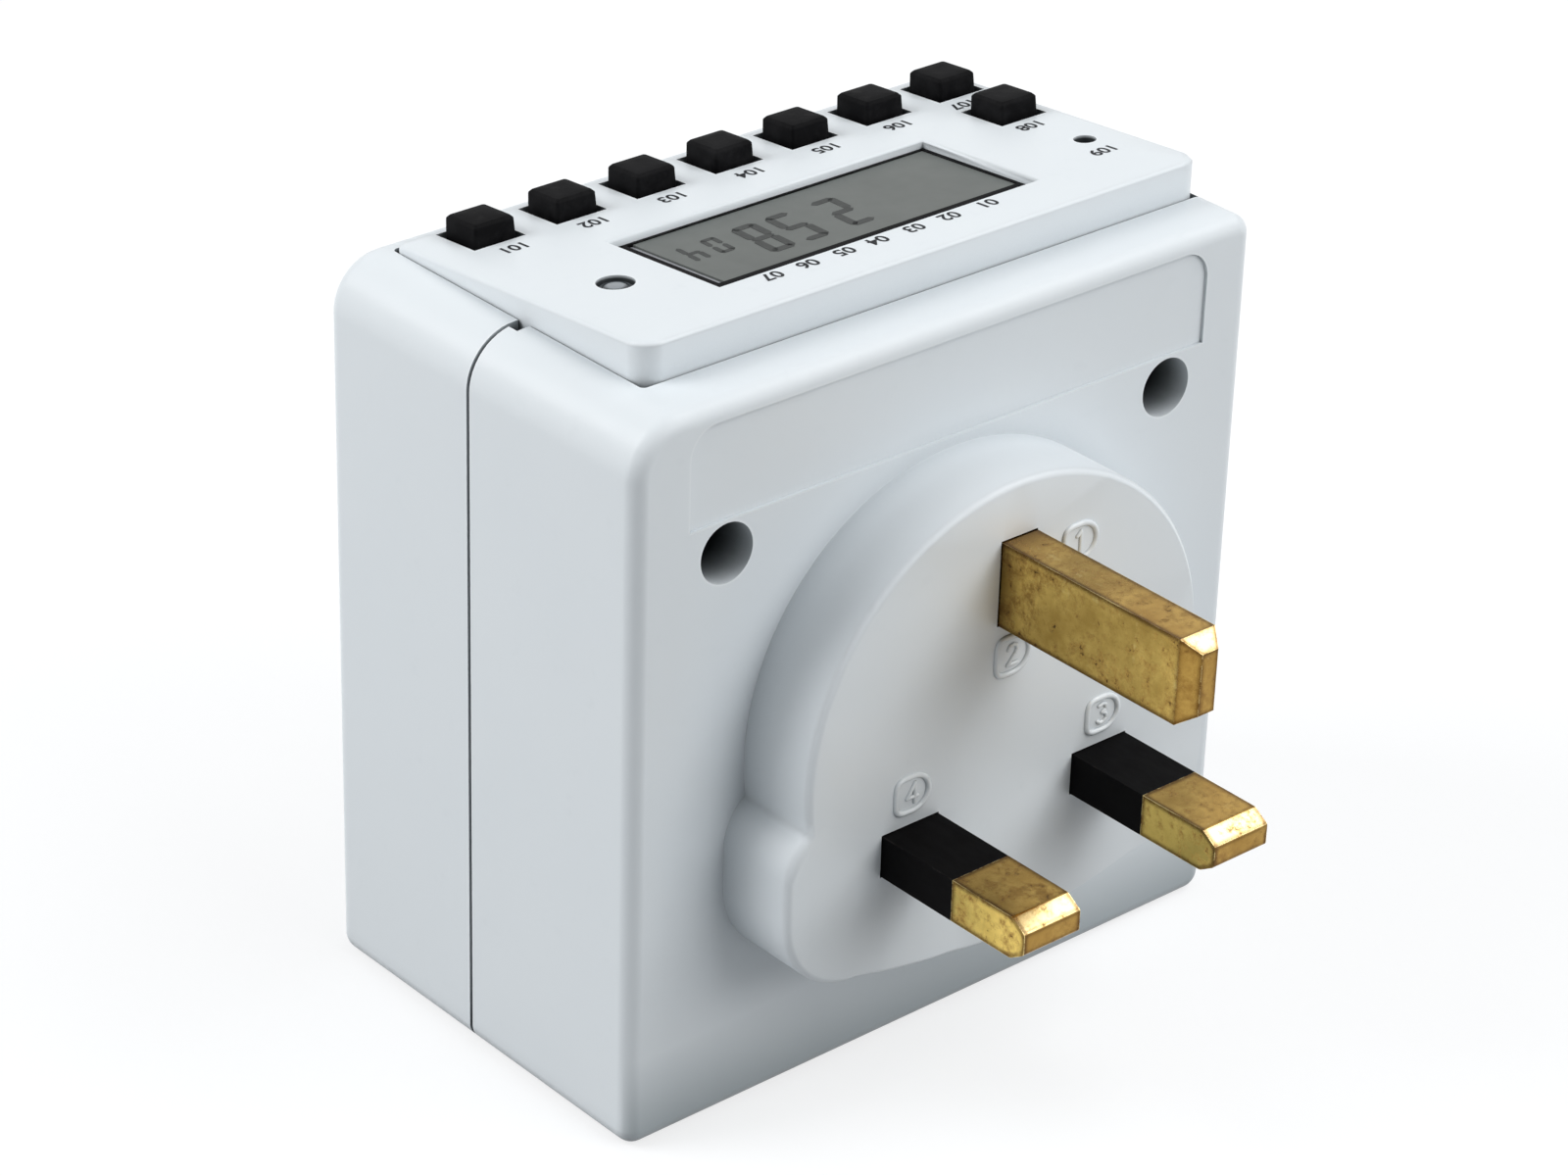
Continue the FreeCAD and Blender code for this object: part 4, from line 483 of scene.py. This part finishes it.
# Low and high colour, lumps per metre, least and most roughness, relief in microns, specular level
TWO_TONES = {
    "lcd_face": ((0.112, 0.122, 0.117), (0.130, 0.142, 0.135), 90.0, (0.34, 0.42), 2, 0.15),
    "display_glass": ((0.36, 0.37, 0.40), (0.44, 0.45, 0.48), 300.0, (0.08, 0.16), 1, 0.6),
    "display_ink": ((0.024, 0.027, 0.026), (0.034, 0.037, 0.036), 400.0, (0.34, 0.42), 2, 0.15),
    "panel_ink": ((0.012, 0.013, 0.015), (0.034, 0.036, 0.04), 1800.0, (0.5, 0.65), 2, 0.08),
    "carrier_grey": ((0.30, 0.31, 0.32), (0.38, 0.39, 0.40), 200.0, (0.4, 0.55), 10, 0.5),
    "board_green": ((0.015, 0.10, 0.04), (0.03, 0.17, 0.07), 350.0, (0.3, 0.45), 10, 0.5),
    "relay_case": ((0.02, 0.08, 0.24), (0.03, 0.11, 0.32), 150.0, (0.3, 0.42), 5, 0.5),
    "capacitor_case": ((0.46, 0.28, 0.06), (0.55, 0.35, 0.09), 180.0, (0.35, 0.5), 10, 0.5),
    "lead_brown": ((0.12, 0.045, 0.018), (0.17, 0.065, 0.028), 260.0, (0.35, 0.5), 10, 0.5),
    "lead_blue": ((0.015, 0.06, 0.32), (0.025, 0.09, 0.42), 260.0, (0.35, 0.5), 10, 0.5),
    "ribbon_grey": ((0.33, 0.33, 0.34), (0.42, 0.42, 0.43), 300.0, (0.4, 0.55), 10, 0.5),
}
FINISHES = {name: two_tone(name, *values) for name, values in TWO_TONES.items()}
FINISHES["white_shell"] = shell_plastic("white_shell")
FINISHES["mark_skin"] = shell_plastic("mark_skin", shine=0.24)
FINISHES["black_rubber"] = dusty_rubber("black_rubber")
FINISHES["brass"] = old_brass("brass")
FINISHES["black_nylon"] = scuffed_nylon("black_nylon")
FINISHES["led_lens"] = lens_plastic("led_lens")
FINISHES["steel"] = drawn_steel("steel")


def on_panel(x, y, w):
    """Point for panel x, y and height w in millimetres: origin plus the panel axes times their amounts."""
    x, y, w = np.broadcast_arrays(np.asarray(x, float), y, w)
    amounts = np.stack([x, y, w], axis=-1) * MM
    return PANEL_ORIGIN + amounts @ np.stack([PANEL_X, PANEL_Y, PANEL_OUT])


def on_face(across, up, out):
    """Point of the plug face for x and z and a rise along +Y, all in millimetres."""
    across, up, out = np.broadcast_arrays(np.asarray(across, float), up, out)
    return np.stack([across * MM, FACE_Y + out * MM, up * MM], axis=-1)


def full_turn(steps):
    """Angles that divide a full turn evenly."""
    return np.arange(steps) * 2 * math.pi / steps


def top_of(node):
    """Greatest height w of a node above the panel plane, in millimetres."""
    points = np.array([v.co for v in nodes[node].data.vertices], float)
    return float(((points - PANEL_ORIGIN) @ PANEL_OUT).max() / MM)


def piece(name, points, faces, finish, slot, body="housing", smooth=True):
    """Makes an object from vertex and face arrays, gives it a finish and puts it on its body."""
    mesh = bpy.data.meshes.new(name)
    mesh.from_pydata(np.asarray(points).reshape(-1, 3).tolist(), [], faces)
    mesh.polygons.foreach_set("use_smooth", np.full(len(mesh.polygons), smooth))
    made = bpy.data.objects.new(name, mesh)
    bpy.context.scene.collection.objects.link(made)
    made.data.materials.append(FINISHES[finish])
    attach(made, body)
    return made


def joined(shapes):
    """One array of points and one list of faces from several pairs of points and faces."""
    starts = np.cumsum([0] + [len(points) for points, _ in shapes]).tolist()
    faces = [[start + i for i in face] for start, (_, part) in zip(starts, shapes) for face in part]
    return np.concatenate([points for points, _ in shapes]), faces


def closed_skin(rings):
    """Faces of a closed surface over an array of rings (ring, step, xyz), with a fan at each end."""
    count, steps = rings.shape[:2]
    grid = np.arange(count * steps).reshape(count, steps)
    after = np.roll(grid, -1, axis=1)
    sides = np.stack([grid[:-1], after[:-1], after[1:], grid[1:]], axis=-1).reshape(-1, 4)
    low, high = count * steps, count * steps + 1
    bottom = np.stack([after[0], grid[0], np.full(steps, low)], axis=-1)
    top = np.stack([grid[-1], after[-1], np.full(steps, high)], axis=-1)
    points = np.vstack([rings.reshape(-1, 3), rings[0].mean(0), rings[-1].mean(0)])
    return points, sides.tolist() + bottom.tolist() + top.tolist()


def rounded_square(half, radius, steps):
    """Square of half-width `half` with corners of `radius`: corner centre plus radius times direction."""
    turn = full_turn(steps) + math.pi / steps
    reach = half - radius
    across = reach * np.sign(np.cos(turn)) + radius * np.cos(turn)
    along = reach * np.sign(np.sin(turn)) + radius * np.sin(turn)
    return across, along


def key_cap(name, centre):
    """Moulded key: rounded squares stacked up the press axis, narrowing to a slightly domed top."""
    base = top_of(name)
    rings = np.stack([
        on_panel(centre[0] + across, centre[1] + along, base + w)
        for half, radius, w in KEY_PROFILE
        for across, along in [rounded_square(half, radius, KEY_STEPS)]
    ])
    cap = piece(name + "_cap", *closed_skin(rings), "black_rubber", "black_rubber", body=name)
    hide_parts(name)


def indicator_lens():
    """Turned lens: each radius and height of its profile swept once round the panel normal."""
    radius, height = np.array(LED_PROFILE).T
    turn = full_turn(LED_STEPS)
    x = LED_XY[0] + radius[:, None] * np.cos(turn)
    y = LED_XY[1] + radius[:, None] * np.sin(turn)
    rings = on_panel(x, y, height[:, None])
    lens = piece("status_led_lens", *closed_skin(rings), "led_lens", "led_lens")
    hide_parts("status_led")


def figure_bars(figure, left, size):
    """Flat six-cornered bars of one seven-segment figure, sheared by SLANT."""
    width, height, foot, thick = size
    half = height / 2
    gap = thick * BAR_GAP
    t = thick / 2
    bars = {
        "a": (0, height - t, width, height - t), "g": (0, half, width, half), "d": (0, t, width, t),
        "f": (t, half, t, height), "b": (width - t, half, width - t, height),
        "e": (t, 0, t, half), "c": (width - t, 0, width - t, half),
    }
    shapes = []
    for key in SEGMENTS[figure]:
        x0, y0, x1, y1 = bars[key]
        along = np.array([x1 - x0, y1 - y0])
        along /= np.linalg.norm(along)
        side = np.array([-along[1], along[0]])
        start = np.array([x0, y0]) + along * gap
        end = np.array([x1, y1]) - along * gap
        corners = np.array([
            start, start + (along - side) * t, end - (along + side) * t,
            end, end - (along - side) * t, start + (along + side) * t])
        corners[:, 0] += corners[:, 1] * SLANT + left
        corners[:, 1] += foot
        shapes.append(corners)
    return shapes


def display_figures():
    """All lit bars as one thin mesh just above the polarising film."""
    bars = []
    for left, figure in BIG_FIGURES:
        bars += figure_bars(figure, left, BIG_SIZE)
    for left, figure in SMALL_FIGURES:
        bars += figure_bars(figure, left, SMALL_SIZE)
    corners = np.concatenate(bars)
    points = on_panel(corners[:, 0], corners[:, 1], top_of("lcd_film") + INK_RISE)
    faces = np.arange(len(corners)).reshape(-1, 6).tolist()
    shown = piece("display_figures", points, faces, "display_ink", "lcd_face", smooth=False)
    plate = shown.modifiers.new("ink", "SOLIDIFY")
    plate.thickness = INK_THICKNESS * MM
    plate.offset = 1.0


def flat_text(text, height):
    """Vertices and faces of a plain number, centred, in millimetres, made a mesh before it is placed."""
    curve = bpy.data.curves.new("number", "FONT")
    curve.body = text
    curve.size = height * FONT_SIZE_FOR_HEIGHT
    curve.align_x = "CENTER"
    curve.offset = PRINT_BOLDNESS
    maker = bpy.data.objects.new("number", curve)
    bpy.context.scene.collection.objects.link(maker)
    bpy.context.view_layer.update()
    mesh = bpy.data.meshes.new_from_object(maker)
    points = np.array([v.co for v in mesh.vertices], float)
    faces = [list(p.vertices) for p in mesh.polygons]
    bpy.data.objects.remove(maker)
    bpy.data.curves.remove(curve)
    bpy.data.meshes.remove(mesh)
    points[:, 1] -= points[:, 1].min()
    return points, faces


def panel_numbers():
    """Plain numbers by the keys and in a row by the window, as one thin printed mesh."""
    labels = [(x, y, KEY_NUMBER_HEIGHT, str(KEY_NUMBER_FIRST + i))
              for i, (x, y) in enumerate(KEY_NUMBERS_AT)]
    labels += [(x, ROW_NUMBERS_Y, ROW_NUMBER_HEIGHT, "%02d" % (i + 1))
               for i, x in enumerate(ROW_NUMBERS_X)]
    shapes = []
    for x, y, height, text in labels:
        shape, faces = flat_text(text, height)
        shapes.append((on_panel(shape[:, 0] + x, shape[:, 1] + y, PRINT_RISE), faces))
    piece("panel_numbers", *joined(shapes), "panel_ink", "black_nylon", smooth=False)


def stroke(start, end, radius):
    """Round-ended bar: circles of radius r cos t round the line, moved along it by r sin t at either end."""
    along = np.array([end[0] - start[0], 0.0, end[1] - start[1]])
    length = np.linalg.norm(along)
    along /= length
    beside = np.cross(OUT, along)
    quarter = np.radians([0.0, 30.0, 60.0, 80.0])
    tilt = np.concatenate([-quarter[::-1], quarter])
    shift = radius * np.sin(tilt) + length * (np.arange(len(tilt)) >= len(quarter))
    centres = np.array([start[0], 0.0, start[1]]) + np.outer(shift, along)
    turn = full_turn(ROUND_STEPS)
    circle = np.cos(turn)[:, None] * beside + np.sin(turn)[:, None] * np.array(OUT)
    rings = centres[:, None, :] + (radius * np.cos(tilt))[:, None, None] * circle
    return closed_skin(on_face(rings[..., 0], rings[..., 2], rings[..., 1]))


def outline(x, z, half_w, half_h):
    """Raised round line on a D-shaped path: powers of cosine and sine, near square on one side."""
    turn = full_turn(MARK_STEPS)
    section = full_turn(ROUND_STEPS)
    power = np.where(np.cos(turn) > 0, MARK_SQUARENESS, 1.0)
    path_x = half_w * np.sign(np.cos(turn)) * np.abs(np.cos(turn)) ** power
    path_z = half_h * np.sign(np.sin(turn)) * np.abs(np.sin(turn)) ** power
    along = np.stack([np.roll(path, -1) - np.roll(path, 1) for path in (path_x, path_z)])
    along /= np.linalg.norm(along, axis=0)
    swing = np.cos(section)[None, :] * MARK_LINE
    rise = np.sin(section)[None, :] * MARK_LINE
    across = x + path_x[:, None] + along[1][:, None] * swing
    up = z + path_z[:, None] - along[0][:, None] * swing
    grid = np.arange(MARK_STEPS * ROUND_STEPS).reshape(MARK_STEPS, ROUND_STEPS)
    ahead, beside = np.roll(grid, -1, axis=0), np.roll(grid, -1, axis=1)
    faces = np.stack([grid, ahead, np.roll(ahead, -1, axis=1), beside], axis=-1).reshape(-1, 4)
    return on_face(across, up, rise), faces.tolist()


def face_marks():
    """Raised outlines on the plug face, each round a plain number made of round-ended strokes."""
    for x, z, half_w, half_h, number in FACE_MARKS:
        tag = "face_mark_" + number
        piece(tag, *outline(x, z, half_w, half_h), "mark_skin", "white_shell")
        corners = [(x - MARK_HALF_HEIGHT * across, z + MARK_HALF_HEIGHT * up)
                   for across, up in MARK_PATHS[number]]
        strokes = [stroke(start, end, MARK_STROKE) for start, end in zip(corners, corners[1:])]
        piece(tag + "_number", *joined(strokes), "mark_skin", "white_shell")


def softened(node, slot, angle):
    """Shown copy of a CAD node: its loose triangles merged and its low edges shaded round."""
    mesh = nodes[node].data.copy()
    mesh.name = node + "_skin"
    for layer in [a.name for a in mesh.attributes if a.name == "custom_normal"]:
        mesh.attributes.remove(mesh.attributes[layer])
    form = bmesh.new()
    form.from_mesh(mesh)
    bmesh.ops.remove_doubles(form, verts=form.verts, dist=MERGE_REACH)
    form.to_mesh(mesh)
    form.free()
    mesh.materials.clear()
    mesh.materials.append(FINISHES[slot])
    mesh.shade_smooth()
    mesh.set_sharp_from_angle(angle=math.radians(angle))
    made = bpy.data.objects.new(node + "_skin", mesh)
    bpy.context.scene.collection.objects.link(made)
    even = made.modifiers.new("even", "WEIGHTED_NORMAL")
    even.keep_sharp = True
    even.weight = LARGE_FACE_WEIGHT
    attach(made, "housing")
    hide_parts(node)


def dress_nodes():
    """Gives each CAD node the finish of its slot."""
    slot_of = {part["node"]: part["material_slot"] for part in frame["record"]["subparts"]}
    for name, node in nodes.items():
        finish = FINISHES[slot_of[name]]
        if node.material_slots:
            for place in node.material_slots:
                place.material = finish
        else:
            node.data.materials.append(finish)


def stage_floor():
    """Flat grid of one cell, far wider than the object, that looks white and still takes the shadow."""
    side = np.array([-FLOOR_REACH, FLOOR_REACH])
    x, y = np.meshgrid(side, side)
    points = np.stack([x, y, np.zeros_like(x)], axis=-1).reshape(-1, 3)
    mesh = bpy.data.meshes.new("floor")
    mesh.from_pydata(points.tolist(), [], [[0, 1, 3, 2]])
    floor = bpy.data.objects.new("floor", mesh)
    bpy.context.scene.collection.objects.link(floor)
    ground = Finish("floor_paint", Roughness=0.9, Specular_IOR_Level=0.1)
    ground.feed("Base Color", rgb(*FLOOR_COLOUR))
    ground.feed("Emission Color", rgb(1.0, 1.0, 1.0))
    seen = ground.seen("Is Camera Ray", "Is Glossy Ray", "Is Transmission Ray")
    ground.feed("Emission Strength", seen * FLOOR_GLOW)
    floor.data.materials.append(ground.material)


def lamp(name, at, size, power):
    """Square white area lamp at a place in metres, turned to the point that all lamps share."""
    light = bpy.data.lights.new(name, "AREA")
    light.shape = "SQUARE"
    light.size = size
    light.energy = power
    made = bpy.data.objects.new(name, light)
    bpy.context.scene.collection.objects.link(made)
    made.location = at
    made.rotation_euler = (Vector(LAMPS_AIM) - Vector(at)).to_track_quat("-Z", "Y").to_euler()


def sky():
    """White world: full strength to the camera, mirrors and glass, and a softer level as light."""
    world = bpy.data.worlds.new("sky")
    world.use_nodes = True
    bpy.context.scene.world = world
    air = Nodes(world.node_tree)
    back = world.node_tree.nodes["Background"]
    air.plug(back.inputs["Color"], rgb(1.0, 1.0, 1.0))
    seen = air.seen("Is Camera Ray", "Is Glossy Ray", "Is Transmission Ray")
    air.plug(back.inputs["Strength"], seen * (1.0 - SKY_LEVEL) + SKY_LEVEL)


def make_camera():
    """Camera axes from azimuth, elevation and roll, at the solved place."""
    a, e, r = (math.radians(v) for v in (CAMERA_AZIMUTH, CAMERA_ELEVATION, CAMERA_ROLL))
    back = Vector((math.sin(a) * math.cos(e), -math.cos(a) * math.cos(e), math.sin(e)))
    right = (-back).cross(Vector(UP)).normalized()
    down = (-back).cross(right)
    turned_right = right * math.cos(r) - down * math.sin(r)
    turned_down = right * math.sin(r) + down * math.cos(r)
    axes = Matrix((turned_right, -turned_down, back)).transposed()
    data = bpy.data.cameras.new("camera")
    data.sensor_width = CAMERA_SENSOR
    data.lens = CAMERA_LENS
    data.clip_start, data.clip_end = CAMERA_CLIP
    camera = bpy.data.objects.new("camera", data)
    bpy.context.scene.collection.objects.link(camera)
    camera.matrix_world = Matrix.Translation(CAMERA_AT) @ axes.to_4x4()
    bpy.context.scene.camera = camera


# The timer
dress_nodes()
for node in ("front_cover", "rear_cover", "control_panel"):
    softened(node, "white_shell", SHELL_SHARP)
for node in ("earth_pin", "live_pin", "neutral_pin"):
    softened(node, "brass", PIN_SHARP)
for key, centre in KEY_CENTRES.items():
    key_cap(key, centre)
display_figures()
panel_numbers()
face_marks()
indicator_lens()

# Its floor, light and camera
stage_floor()
sky()
for name, at, size, power in LAMPS:
    lamp(name, at, size, power)
make_camera()
bpy.context.scene.view_settings.view_transform = "Standard"
